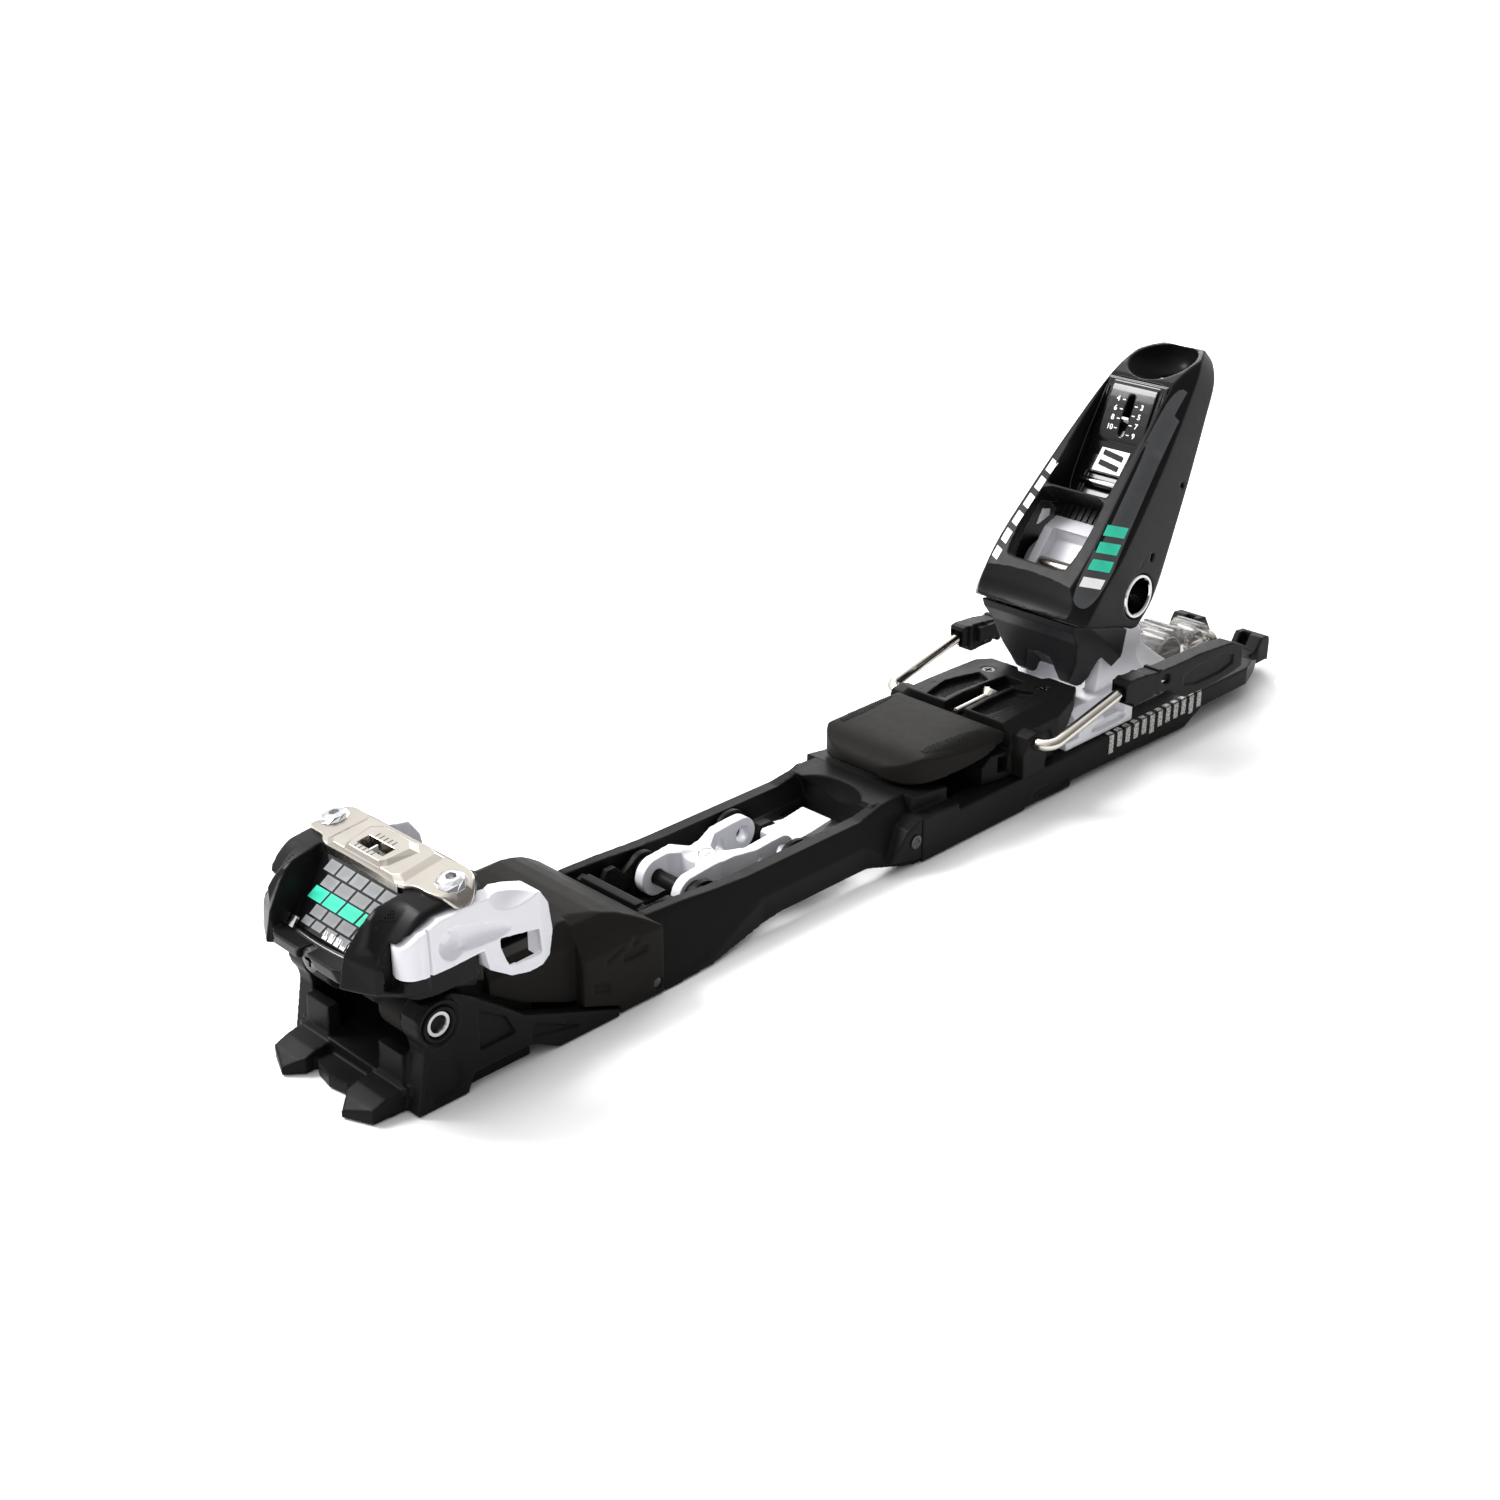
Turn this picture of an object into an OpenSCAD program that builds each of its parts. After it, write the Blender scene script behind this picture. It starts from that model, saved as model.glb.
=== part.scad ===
// Frame-type alpine touring binding, toe at the left (-X) and heel at the right (+X).
// Lengths along the binding are stations, measured in millimetres back from its front tip.
// Stations become X by from_tip(), which puts the origin between the four front ski screws.

/* [Ski mounting] */
// Station of the centre of the front screw pattern
screw_station = 100; // [96:1:104]
// Spacing of the front and rear screws along the ski, front pattern
front_pitch_x = 40; // [36:1:44]
// Spacing of the rear screws along the ski
rear_pitch_x = 50; // [44:1:56]
// Spacing of the screws across the ski
pitch_y = 36; // [32:1:37]
// Radius of a ski screw hole
screw_r = 2.75; // [2.5:0.05:2.9]

/* [Pivots] */
// Station of the hollow toe axle
toe_axle_s = 27; // [26:0.5:28]
// Height of the hollow toe axle above the ski
toe_axle_z = 31.5; // [31:0.5:32]
// Outer radius of the toe axle
toe_axle_r = 5; // [4.8:0.1:5.2]
// Bore radius of the toe axle
toe_bore_r = 3; // [2.5:0.1:3.2]
// Station of the hollow heel axle
heel_axle_s = 404; // [403:0.5:405]
// Height of the hollow heel axle above the ski
heel_axle_z = 73; // [72:0.5:74]
// Outer radius of the heel axle
heel_axle_r = 10; // [9.5:0.1:10.2]
// Bore radius of the heel axle
heel_bore_r = 7.8; // [7:0.1:8]
// Angle that the heel housing leans back when it is closed
heel_lean = 40; // [39:0.5:41]
// Station of the pivot of the mode lever and of the climbing aid
mode_s = 160; // [159:0.5:161]
// Height of that pivot
mode_z = 17; // [16.5:0.5:17.5]

/* [Brake] */
// Diameter of the brake wire
wire_d = 5; // [4.6:0.1:5]
// Half the distance between the brake arms
arm_y = 44; // [43.5:0.5:45]

/* [Springs] */
// Turns of each release spring
spring_turns = 6; // [4:1:7]

/* [Hidden] */
$fn = 48;
gap = 0.4;        // clearance between parts that slide or swing past each other
run = 0.05;       // radial clearance of a pin that turns in its bore
block_y = 34.7;   // outer face of the axle block and of the frame's lower edge
ear_in = 26.8;    // inner face of the axle block's ears
ear_out = 36;     // outer face of those ears
lug_in = 14;      // inner face of the frame's hinge lugs
rail_in = 19.5;   // inner face of the frame's side rails
ledge_z = 16;     // top of the rear track's side ledges
track_in = 24;    // inner face of the rear track's ledges
floor_z = 9;      // top of the rear track's floor
crank_r = 15;     // radius of the mode lever's crank
crank_a = 40;     // angle of the crank behind straight down, half of its swing
pin_r = 3;        // radius of the mode pivot pin
plate_h = 6;      // height of the front slide plate
wing_s = 20;      // station of a wing's pivot
wing_y = 33.2;    // distance of that pivot from the centre line
wing_r = 6;       // radius of the wing's front end, round its pivot
pin_w = 2;        // radius of the wing's pivot pin
wing_z = 52.6;    // underside of the wing's front end
wing_top = 70.8;  // top of the wing's front end
core_y = 25.5;    // half width of the toe housing between the axle block's ears
brake_s = 329;    // station of the pivot of the brake wire
brake_z = 31;     // height of that pivot
arm_bend = 6;     // bend radius of the brake wire
arm_rise = 12.5;  // angle at which the brake wire rises from its pivot
arm_len = 46;     // distance from the pivot to the wire's second bend
arm_drop = 5;     // angle at which the wire falls behind that bend
pedal_s = 317;    // station of the pedal's hinge
pedal_z = 34.4;   // height of the pedal's hinge
step_s = 218;     // station of the small climbing step's pivot
step_z = 13;      // height of that pivot

// ---- helpers ----

module from_tip() translate([-screw_station, 0, 0]) children();

// An outline drawn as (station, height), extruded across the binding from y0 to y1.
module slab(y0, y1) translate([0, y1, 0]) rotate([90, 0, 0]) linear_extrude(y1 - y0) children();

// The same, extruded evenly about the centre line.
module across(w) slab(-w / 2, w / 2) children();

// An outline drawn as (y, height), extruded along the binding from s0 to s1.
module along(s0, s1) translate([s0, 0, 0]) rotate([90, 0, 90]) linear_extrude(s1 - s0) children();

// An outline drawn as (station, y), extruded upwards from z0 to z1.
module rise(z0, z1) translate([0, 0, z0]) linear_extrude(z1 - z0) children();

// Left and right copies.
module both() {
  children();
  mirror([0, 1, 0]) children();
}

// A rod across the binding at one station and height.
module rod(s, z, r, y0, y1) translate([s, y1, z]) rotate([90, 0, 0]) cylinder(r = r, h = y1 - y0);

// A box given by its limits.
module block(s0, s1, y0, y1, z0, z1) translate([s0, y0, z0]) cube([s1 - s0, y1 - y0, z1 - z0]);

// An outline and its mirror image in y, given its points with y above 0.
function mirrored(p) = concat(p, [for (i = [len(p) - 1:-1:0]) [p[i][0], -p[i][1]]]);

// The same for an outline drawn as (y, height).
function mirrored_z(p) = concat(p, [for (i = [len(p) - 1:-1:0]) [-p[i][0], p[i][1]]]);

// A coil spring along +Z: a helix swept as one polyhedron.
module coil(r, wire, len, turns) {
  per_turn = 14;
  sides = 6;
  n = turns * per_turn;
  pts = [for (i = [0:n]) let (a = 360 * i / per_turn, z = wire + (len - 2 * wire) * i / n)
    for (k = [0:sides - 1]) let (b = 360 * k / sides, q = r + wire * cos(b))
      [q * cos(a), q * sin(a), z + wire * sin(b)]];
  faces = concat(
    [[for (k = [0:sides - 1]) k]],
    [for (i = [0:n - 1]) for (k = [0:sides - 1]) let (m = (k + 1) % sides)
      [i * sides + k, (i + 1) * sides + k, (i + 1) * sides + m]],
    [for (i = [0:n - 1]) for (k = [0:sides - 1]) let (m = (k + 1) % sides)
      [i * sides + k, (i + 1) * sides + m, i * sides + m]],
    [[for (k = [sides - 1:-1:0]) n * sides + k]]);
  polyhedron(pts, faces, convexity = 6);
}

// A screw head with a cross recess, its axis along +Z and its top at z = 0.
module screw_head(r, h) difference() {
  translate([0, 0, -h]) cylinder(r = r, h = h);
  for (a = [0, 90]) rotate([0, 0, a]) translate([-r * 0.6, -r * 0.14, -h * 0.6]) cube([r * 1.2, r * 0.28, h]);
}

// ---- parts screwed to the ski ----

module ski_holes(s, px, top) for (i = [-1, 1], j = [-1, 1])
  translate([s + i * px / 2, j * pitch_y / 2, -1]) {
    cylinder(r = screw_r, h = top + 2);
    translate([0, 0, top - 1]) cylinder(r = 4.6, h = 4);
  }

module front_slide_plate() color("#2b2b2d") from_tip() difference() {
  along(72, 128) polygon(mirrored_z([[22, 0], [24.5, 3], [24.5, plate_h]]));
  ski_holes(screw_station, front_pitch_x, plate_h);
}

module rear_plate() color("#2b2b2d") from_tip() {
  difference() {
    rise(0, 5) polygon(mirrored([[335, 20], [339, 24], [431, 24], [435, 20]]));
    ski_holes(385, rear_pitch_x, 5);
  }
  both() slab(8, 15) polygon([[350, 4.9], [355, 4.9], [355, 6.6], [362, 6.6], [362, 8.4], [350, 8.4]]);
}

module mode_anchor() color("#77797c") from_tip() {
  pin_s = mode_s + crank_r * sin(crank_a);
  difference() {
    union() {
      rise(0, 1.6) polygon(mirrored([[129, 4], [133, 6], [176, 6], [178, 4]]));
      block(164, 176, -6, 6, 0, 9);
    }
    block(pin_s - 2.4, pin_s + 2.4, -7, 7, 0.4, 10);
  }
}

// ---- the block that slides on the ski and holds the toe axle ----

module block_side() {
  outline = [[17, 0.3], [37.5, 0.3], [40, 6.6], [64, 6.6], [76, 0.3], [103, 0.3], [103, 3], [62, 19], [52, 27],
    [37, 38], [33, 40], [22, 40], [18.5, 36], [21, 22]];
  difference() {
    slab(ear_in, block_y) polygon(outline);
    slab(ear_in - 1, 29.9) polygon([[39.5, 9.2], [110, 9.2], [110, 45], [39.5, 45]]);
    slab(block_y - 1.6, block_y + 1) polygon([[43, 14], [58, 14], [54, 22], [43, 29]]);
    slab(block_y - 1.2, block_y + 1) polygon([[64, 9], [88, 3.6], [66, 14]]);
  }
  rod(toe_axle_s, toe_axle_z, 8.6, ear_in, ear_out);
}

module horn() intersection() {
  slab(12, 29) polygon([[0, 0.3], [17.5, 0.3], [17.5, 8.6], [10, 7.6], [4.5, 5.6], [0, 3]]);
  rise(0, 13) polygon([[6, 12], [0, 17], [4.5, 27.5], [17.5, 28.5], [17.5, 12]]);
}

module axle_block() color("#1d1d1f") from_tip() difference() {
  union() {
    both() {
      block_side();
      horn();
      slab(lug_in, ear_in) polygon([[16.5, 0.3], [24, 0.3], [22, 20], [18, 20]]);
      slab(ear_in - 0.1, 31) polygon([[20, 0.3], [66, 0.3], [66, 9.2], [20, 9.2]]);
    }
    rise(0.3, 5) polygon(mirrored([[7, 0], [8.5, 8], [11, 12.5], [17.5, 15]]));
    block(16.5, 102, -30, 30, plate_h + gap, 9.2);
    block(16.5, 66, -25.2, 25.2, 0.3, 7);
  }
  along(51, 120) polygon([[-22.5, -1], [22.5, -1], [25, 3 - gap], [25, plate_h + gap + 0.01],
    [-25, plate_h + gap + 0.01], [-25, 3 - gap]]);
  both() rod(toe_axle_s, toe_axle_z, toe_axle_r + 1.2, lug_in, ear_out + 1);
}

module toe_axle() color("#b9b7b2") from_tip() difference() {
  rod(toe_axle_s, toe_axle_z, toe_axle_r, -ear_out - 0.5, ear_out + 0.5);
  rod(toe_axle_s, toe_axle_z, toe_bore_r, -ear_out - 1, ear_out + 1);
}

module axle_bushes() color("#a08a5c") from_tip() both() difference() {
  rod(toe_axle_s, toe_axle_z, toe_axle_r + 1.2, ear_in, ear_out);
  rod(toe_axle_s, toe_axle_z, toe_axle_r, ear_in - 1, ear_out + 1);
}

module slider_bridge() color("#242426") from_tip() difference() {
  union() {
    block(60, 135, -16.5, 16.5, 9.2, 11.5);
    block(130, 226, -14.5, 14.5, 2, 9);
    block(130, 135, -16.5, 16.5, 5, 11.5);
    both() {
      slab(12.3, 14.5) hull() {
        translate([mode_s, mode_z]) circle(r = 6);
        translate([mode_s - 9, 7]) square([18, 1]);
      }
      slab(9, 14.5) polygon([[186, 9], [186, 10.6], [213.5, 10.6], [216, 17.5], [222, 17.5], [226, 14.5], [226, 9]]);
    }
  }
  block(140, 181, -7.2, 7.2, 0, 20);
  block(183, 208, -8, 8, 0, 20);
  block(207, 223, -8.4, 8.4, 8.1, 20);
  block(148, 172, -20, 20, 0, 7.4);
  both() {
    rod(mode_s, mode_z, pin_r, 10, 16);
    rod(step_s, step_z, 2 + run, 8, 16);
  }
}

module mode_pivot_pin() color("#c6c6c8") from_tip() rod(mode_s, mode_z, pin_r, -18.6, 18.6);

module lever_side() difference() {
  slab(14.8, 17.6) difference() {
    union() {
      polygon([[129, 12.2], [129, 24.5], [132, 25.5], [135, 21], [139, 19.5], [142, 23.5], [146, 23.5], [150, 19.5],
        [155, 22.5], [160, 24.5], [162, 10], [150, 8], [138, 9], [136.5, 12.2]]);
      translate([mode_s, mode_z]) circle(r = 7.5);
      hull() {
        translate([mode_s, mode_z]) circle(r = 5);
        translate([mode_s + crank_r * sin(crank_a), mode_z - crank_r * cos(crank_a)]) circle(r = 3);
      }
    }
    translate([mode_s + crank_r * sin(crank_a), mode_z - crank_r * cos(crank_a)]) circle(r = 1.5);
  }
  rod(mode_s, mode_z, pin_r + run, 14, 19);
}

module mode_lever() color("#1b1b1d") from_tip() {
  both() lever_side();
  difference() {
    block(129, 133, -14.9, 14.9, 12, 26);
    rod(126.5, 19, 5, -12, 12);
  }
}

module mode_crank_pin() color("#c6c6c8") from_tip()
  rod(mode_s + crank_r * sin(crank_a), mode_z - crank_r * cos(crank_a), 1.5, -17.6, 17.6);

// The climbing aid: two ears at its pivot, a waist, and two arms that stand under the frame.
module climbing_aid() color("#dedee2") from_tip() difference() {
  intersection() {
    union() {
      rod(mode_s, mode_z, 7.6, -15, 15);
      rod(205, 18, 7, -15, 15);
      across(30) polygon([[158, 9.6], [158, 24.4], [170, 25.5], [178, 23], [200, 24.8], [205, 24.9], [205, 11.1],
        [186, 12], [174, 10]]);
    }
    rise(0, 40) polygon(mirrored([[150, 12], [170, 12], [177, 9], [183, 9.5], [192, 13], [214, 13]]));
  }
  rise(0, 40) polygon(mirrored([[140, 7.4], [165, 7.4], [169, 4]]));
  rise(0, 40) polygon(mirrored([[182, 0.5], [183, 3], [190, 8], [220, 8]]));
  rod(mode_s, mode_z, pin_r + run, -20, 20);
  rod(205, 18, 3.2, -20, 20);
  across(40) polygon([[189, 15], [196, 14], [194, 21]]);
}

module climbing_step() color("#dedee2") from_tip() {
  across(15.6) polygon([[214.5, 10.2], [214.5, 16], [217, 18.6], [228, 20.6], [236, 21.6], [239, 20], [238, 17],
    [224, 11.6], [221, 10.2]]);
  rod(step_s, step_z, 2, -14.4, 14.4);
}

// ---- the frame that carries the boot ----

deck = [[52, 38], [80, 38], [84, 41], [92, 40.6], [100, 39.4], [108, 37], [114, 34.2], [119, 31.2], [125, 27]];

module toe_platform() color("#1c1c1e") from_tip() difference() {
  union() {
    intersection() {
      across(80) polygon(concat(deck, [[125, 0.5], [104, 0.5], [104, 3.6], [88, 10], [66, 19.5], [52, 28.5]]));
      union() {
        along(50, 88.1) polygon(mirrored_z([[29.3, 11], [29.3, 33], [25, 42]]));
        along(88, 126) polygon(mirrored_z([[34, 0], [34, 27], [31.5, 33], [27, 38.5], [20, 42]]));
      }
    }
    both() {
      rod(toe_axle_s, toe_axle_z, 8, lug_in, ear_in - 0.5);
      slab(lug_in, 25.4) polygon([[27, 23.5], [34, 25], [50, 20], [60, 14], [72, 12], [72, 36], [56, 38],
        [52, 33.4], [50, 33.4], [44, 36.4], [28, 39.9], [27, 39.5]]);
    }
    across(28.4) polygon([[18, 34], [20, 43], [28, 39.9], [44, 36.4], [50, 33.4], [60, 33.4], [60, 24], [40, 24],
      [34, 31], [24, 31]]);
  }
  block(64, 130, -19, 19, -1, 24);
  block(50, 130, -25.2, 25.2, -1, 6.8);
  block(50, 103, -30.4, 30.4, -1, 9.6);
  block(64, 110, -19, 19, 23, 31);
  both() {
    rod(toe_axle_s, toe_axle_z, toe_axle_r + run, lug_in - 1, ear_in);
    slab(33, 35) polygon([[92, 14], [100, 11], [100, 14], [92, 17]]);
    slab(33, 35) polygon([[106, 20], [117, 20], [117, 23], [106, 23]]);
    rod(122, 5, 2, 20, 36);
  }
  rod(toe_axle_s, toe_axle_z, toe_axle_r + run, -20, 20);
  block(50, 81, -21, 21, 35, 39);
  translate([66, 0, 30]) cylinder(r = 2.6, h = 12);
}

// Side rails: the outer face leans outwards to its lower edge, and the waist is arched.
module centre_frame() color("#1d1d1f") from_tip() {
  rail_section = [[rail_in, 27.5], [23.5, 27.5], [25, 24], [33.6, 0.5], [28, 0.5], [rail_in + 3, 12], [rail_in, 14]];
  rail_side = [[125.2, 27], [145, 26], [160, 24.7], [175, 24], [236, 24], [250, 26.5], [262, 27], [262, 0.5], [258, 0.5],
    [238, 4.5], [190, 5], [178, 3.5], [150, 0.5], [125.2, 0.5]];
  rail_plan = [[125.2, 18], [125.2, 34], [150, 32.6], [180, 28.6], [236, 28.6], [252, 33], [262, 34.5], [262, 18]];
  difference() {
    union() {
      both() intersection() {
        along(125.2, 262) polygon(rail_section);
        across(80) polygon(rail_side);
        rise(0, 30) polygon(rail_plan);
      }
      both() slab(24, 34.7) polygon([[244, 6], [262, 2], [262, 20], [254, 17]]);
      across(2 * rail_in + 5) polygon([[256, 6.5], [262, 6.5], [262, 27], [246, 26.6], [250, 22], [253, 12]]);
      both() slab(rail_in, 23) polygon([[125.2, 8], [132, 8], [129, 24], [125.2, 26]]);
    }
    both() rod(258, 11, 2, 25, 40);
  }
}

module prong() difference() {
  slab(10, 25) polygon([[505, 7.6], [523, 7.6], [530, 5.5], [530, 10], [524, 19.5], [518, 20], [514, 14], [508, 12.5],
    [505, 12.5]]);
  rise(0, 30) polygon([[500, 21], [516, 25], [540, 25], [540, 28], [500, 28]]);
  rise(0, 30) polygon([[524, 26], [531, 18], [540, 30]]);
  block(515, 521, 13.5, 18, 14, 30);
}

module rear_track() color("#1b1b1d") from_tip() difference() {
  side = [[262, 0.5], [327, 0.5], [327, 1.4], [358, 0.6], [358, 3], [393, 2.6], [442, 1.2], [455, 7.4], [506, 7.4],
    [512, 11.5], [500, ledge_z], [284, ledge_z], [284, 24], [262, 27]];
  union() {
    difference() {
      across(70) polygon(side);
      across(60) polygon([[261, -1], [520, -1], [520, 5.6], [261, 5.6]]);
      rise(floor_z, 40) polygon(mirrored([[284.1, track_in], [520, track_in]]));
      rise(-1, 40) polygon([[488, 36], [520, 24], [520, 40], [488, 40]]);
      rise(-1, 40) polygon([[488, -36], [520, -24], [520, -40], [488, -40]]);
      both() slab(28.5, 40) polygon([[261, 20], [300, 18], [300, 40], [261, 40]]);
    }
    both() prong();
    block(495, 508, -20, 20, 7.4, 12.5);
  }
  both() block(329, 365, 7, 16, 0, 12);
  translate([480, 0, 14]) rotate([0, 90, 0]) cylinder(r = 3.4, h = 60);
}

module length_scale() color("#b9b9bd") from_tip() both() for (i = [0:13]) {
  tall = i % 5 == 0 ? 3.8 : 2.2;
  block(388 + 6 * i, 391 + 6 * i, 35 - tall * 0.6, 35, ledge_z, ledge_z + 0.6);
  block(388 + 6 * i, 391 + 6 * i, 35, 35.4, ledge_z - tall, ledge_z + 0.6);
}

module frame_screws() color("#303033") from_tip() both() {
  translate([258, 34.7, 11]) rotate([-90, 0, 0]) translate([0, 0, 0.6]) screw_head(2.9, 0.6);
  rod(258, 11, 2, 26, 34.7);
  rod(122, 5, 2, 26, 33.2);
}

// ---- toe unit ----

module toe_shape() intersection() {
  union() {
    across(2 * core_y) polygon([[2, 53.5], [3, 49], [10, 46.5], [28, 40.2], [44, 36.8], [50, 33.8], [52, 37], [52, 69],
      [46.5, 78.6], [38, 79.4], [26, 77.4], [20, 75.4], [12, 70.5]]);
    across(80) polygon([[2, 53.5], [5, 51], [12, 48], [20, 43.5], [28, 42.2], [34, 42.2], [40, 39.5], [50, 35.5],
      [52, 37], [52, 69], [46.5, 78.6], [38, 79.4], [26, 77.4], [20, 75.4], [12, 70.5]]);
  }
  rise(30, 85) polygon(mirrored([[2, 16], [4, 20], [9, 28.5], [12.5, 33.4], [18, 36], [44, 36], [47, 33], [52, 27]]));
  along(0, 60) polygon(mirrored_z([[31, 33], [36, 43], [36, 72], [34, 76], [30, 79], [20, 81]]));
}

module wing_space() both() {
  rise(wing_z - gap, wing_top + gap) translate([wing_s, wing_y]) circle(r = wing_r + gap);
  block(wing_s, 60, 31.2, 50, wing_z - gap, wing_top + gap);
  block(44, 60, 30, 50, 36, wing_top + gap);
}

module toe_housing() color("#19191c") from_tip() difference() {
  toe_shape();
  wing_space();
  both() translate([wing_s, wing_y, 45.5]) cylinder(r = pin_w, h = 27.3);
  block(25.5, 46, -24, 24, 45, 66);
  block(25.5, 45, -33, 33, 77.4, 90);
  intersection() {
    across(60) polygon([[0, 54.2], [12, 54.2], [27.5, 71.5], [27.5, 80], [12, 80], [0, 60]]);
    along(0, 30) polygon(mirrored_z([[18, 50], [24, 80]]));
  }
  translate([-1, 0, 49.6]) rotate([0, 90, 0]) cylinder(r = 4.5, h = 10);
  translate([-1, 0, 49.6]) rotate([0, 90, 0]) cylinder(r = 2.6 + run, h = 30);
  block(28, 38, -11, 11, 65, 90);
  both() translate([38.3, 31.4, 60]) cylinder(r = 2, h = 30);
}

module toe_cover() color("#b4aea6") from_tip() difference() {
  union() {
    rise(77.4, 79.6) polygon(mirrored([[26, 21], [30, 23.5], [33.5, 28], [34, 33], [42.5, 33], [43.5, 28], [41.5, 22],
      [45, 18]]));
    across(40) polygon([[26, 77.4], [26, 75.6], [27.5, 77.4]]);
    across(34) polygon([[32, 79.6], [34, 81], [44, 81], [45, 79.6]]);
  }
  block(30.5, 35, -8, 8, 75, 90);
  both() translate([38.3, 31.4, 60]) cylinder(r = 2, h = 30);
}

module toe_cover_rivets() color("#d8d8da") from_tip() both() translate([38.3, 31.4, 0]) {
  translate([0, 0, 72]) cylinder(r = 2, h = 7.7);
  translate([0, 0, 79.6]) cylinder(r1 = 4.6, r2 = 3.2, h = 1.4, $fn = 40);
}

module toe_window() color("#34383c") from_tip() intersection() {
  across(60) polygon([[9.8, 54.4], [11.6, 54.4], [26.8, 71.4], [25.6, 72.8]]);
  along(0, 30) polygon(mirrored_z([[17.8, 50], [23.8, 80]]));
}

module toe_spring() color("#9a9a9c") from_tip() translate([34, 0, 55]) rotate([90, 0, 0])
  translate([0, 0, -20]) coil(6.5, 1.5, 40, spring_turns);

module toe_spring_rod() color("#8e8e90") from_tip() {
  rod(34, 55, 3, -22.5, 22.5);
  rod(34, 55, 8, 20.5, 22.5);
  rod(34, 55, 8, -22.5, -20.5);
}

module toe_release_screw() color("#c2c2c4") from_tip() translate([4.4, 0, 49.6]) rotate([0, -90, 0]) {
  screw_head(4.2, 3);
  translate([0, 0, -20]) cylinder(r = 2.6, h = 17.5);
}

module toe_indicator() color("#e6e6e6") from_tip() {
  block(30.9, 34.6, -2.4, 2.4, 77.6, 78.6);
  block(31.5, 34, -1.2, 1.2, 72, 77.6);
}

module wing_pins() color("#bdbdbf") from_tip() both() translate([wing_s, wing_y, 45.5]) cylinder(r = pin_w, h = 27.3);

// A toe wing, drawn for the left side: a hinge barrel, a cheek beside the housing and a jaw behind it.
module wing() difference() {
  union() {
    rise(wing_z, wing_top) translate([wing_s, wing_y]) circle(r = wing_r);
    intersection() {
      slab(26, 40.4) polygon([[wing_s, wing_z], [30, 52.6], [44, 52.6], [46, 44.6], [54, 39.5], [61, 38.2], [71, 39.5],
        [73.8, 47.5], [71.5, 59], [66.5, 65.8], [52, 69.6], [44, wing_top], [wing_s, wing_top]]);
      rise(30, 80) polygon([[wing_s, 31.6], [50, 31.6], [54, 29], [60, 28.5], [73.8, 31], [73.8, 36.4], [66, 40.2],
        [46, 38.8], [30, 39.8], [wing_s, 39.6]]);
    }
  }
  translate([wing_s, wing_y, 40]) cylinder(r = pin_w + run, h = 40);
  slab(20, 50) polygon([[50, 54], [65.5, 51.5], [66.2, 43.6], [56, 43.2]]);
  slab(37.4, 50) polygon([[27, 59], [31, 56.4], [44, 56.6], [48, 55], [50, 59], [44, 63], [32, 65.5], [27, 63.5]]);
}

module wing_left() color("#c3c3ca") from_tip() wing();
module wing_right() color("#c3c3ca") from_tip() mirror([0, 1, 0]) wing();

module sole_plate_carrier() color("#232325") from_tip() difference() {
  block(53.2, 80.4, -20.4, 20.4, 35.2, 38.4);
  block(56, 78, -30, 30, 37, 40);
  translate([66, 0, 30]) cylinder(r = 2 + run, h = 12);
}

module sole_glide_plate() color("#c9c9c8") from_tip() {
  block(54.6, 79.4, -19, 19, 38.9, 40);
  block(56.6, 77.4, -13, 13, 37.4, 39);
}

module sole_height_screw() color("#b0b0b2") from_tip() translate([66, 0, 31.2]) cylinder(r = 2, h = 5.6);

// ---- heel unit, on a carriage that slides along the rear track ----

// Heel housing parts are drawn upright about the heel axle and then leaned back.
module leaned() from_tip() translate([heel_axle_s, 0, heel_axle_z]) rotate([0, heel_lean, 0]) children();

module carriage_side() difference() {
  slab(17, 23.4) union() {
    polygon([[372, 26], [387.8, 31], [389.2, 40], [391.6, 53.5], [396.6, 66], [heel_axle_s - 6, heel_axle_z + 8],
      [heel_axle_s + 12, heel_axle_z], [415, 58], [424, 44], [440, 32], [448, 26]]);
    translate([heel_axle_s, heel_axle_z]) circle(r = 13);
  }
  rod(heel_axle_s, heel_axle_z, heel_axle_r, 16, 24);
}

module heel_carriage() color("#d5d5db") from_tip() difference() {
  union() {
    both() carriage_side();
    across(46.8) polygon([[350, floor_z + gap], [452, floor_z + gap], [452, 22], [446, 27], [372, 30], [362, 26], [350, 20]]);
    along(366, 404) polygon(mirrored_z([[32.4, 16.4], [32.4, 24], [26, 31], [17, 31]]));
    along(357, 366.1) polygon(mirrored_z([[32.4, 16.4], [32.4, 20]]));
  }
  translate([340, 0, 14]) rotate([0, 90, 0]) cylinder(r = 4.1, h = 120);
  slab(27, 34) polygon([[382, 22], [398, 22], [398, 32], [388, 32]]);
  slab(-34, -27) polygon([[382, 22], [398, 22], [398, 32], [388, 32]]);
  block(408, 446, -14, 14, 20, 40);
}

module heel_axle() color("#cfd0d2") from_tip() difference() {
  rod(heel_axle_s, heel_axle_z, heel_axle_r, -30.6, 30.6);
  rod(heel_axle_s, heel_axle_z, heel_bore_r, -31, 31);
}

module length_screw() color("#a9a9ab") from_tip() translate([0, 0, 14]) rotate([0, 90, 0]) {
  translate([0, 0, 352]) cylinder(r = 4, h = 130);
  translate([0, 0, 481.9]) cylinder(r = 3, h = 27);
  translate([0, 0, 512]) screw_head(5, 3.6);
}

// Clear cover over the length adjuster: two ribbed drums joined by a bridge.
module cover_drum(s, r, w) {
  rod(s, 20, r, -w, w);
  for (a = [20:20:160]) translate([s + r * cos(a), 0, 20 + r * sin(a)]) rotate([90, 0, 0])
    cylinder(r = 1.1, h = 2 * w, center = true);
}

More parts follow.
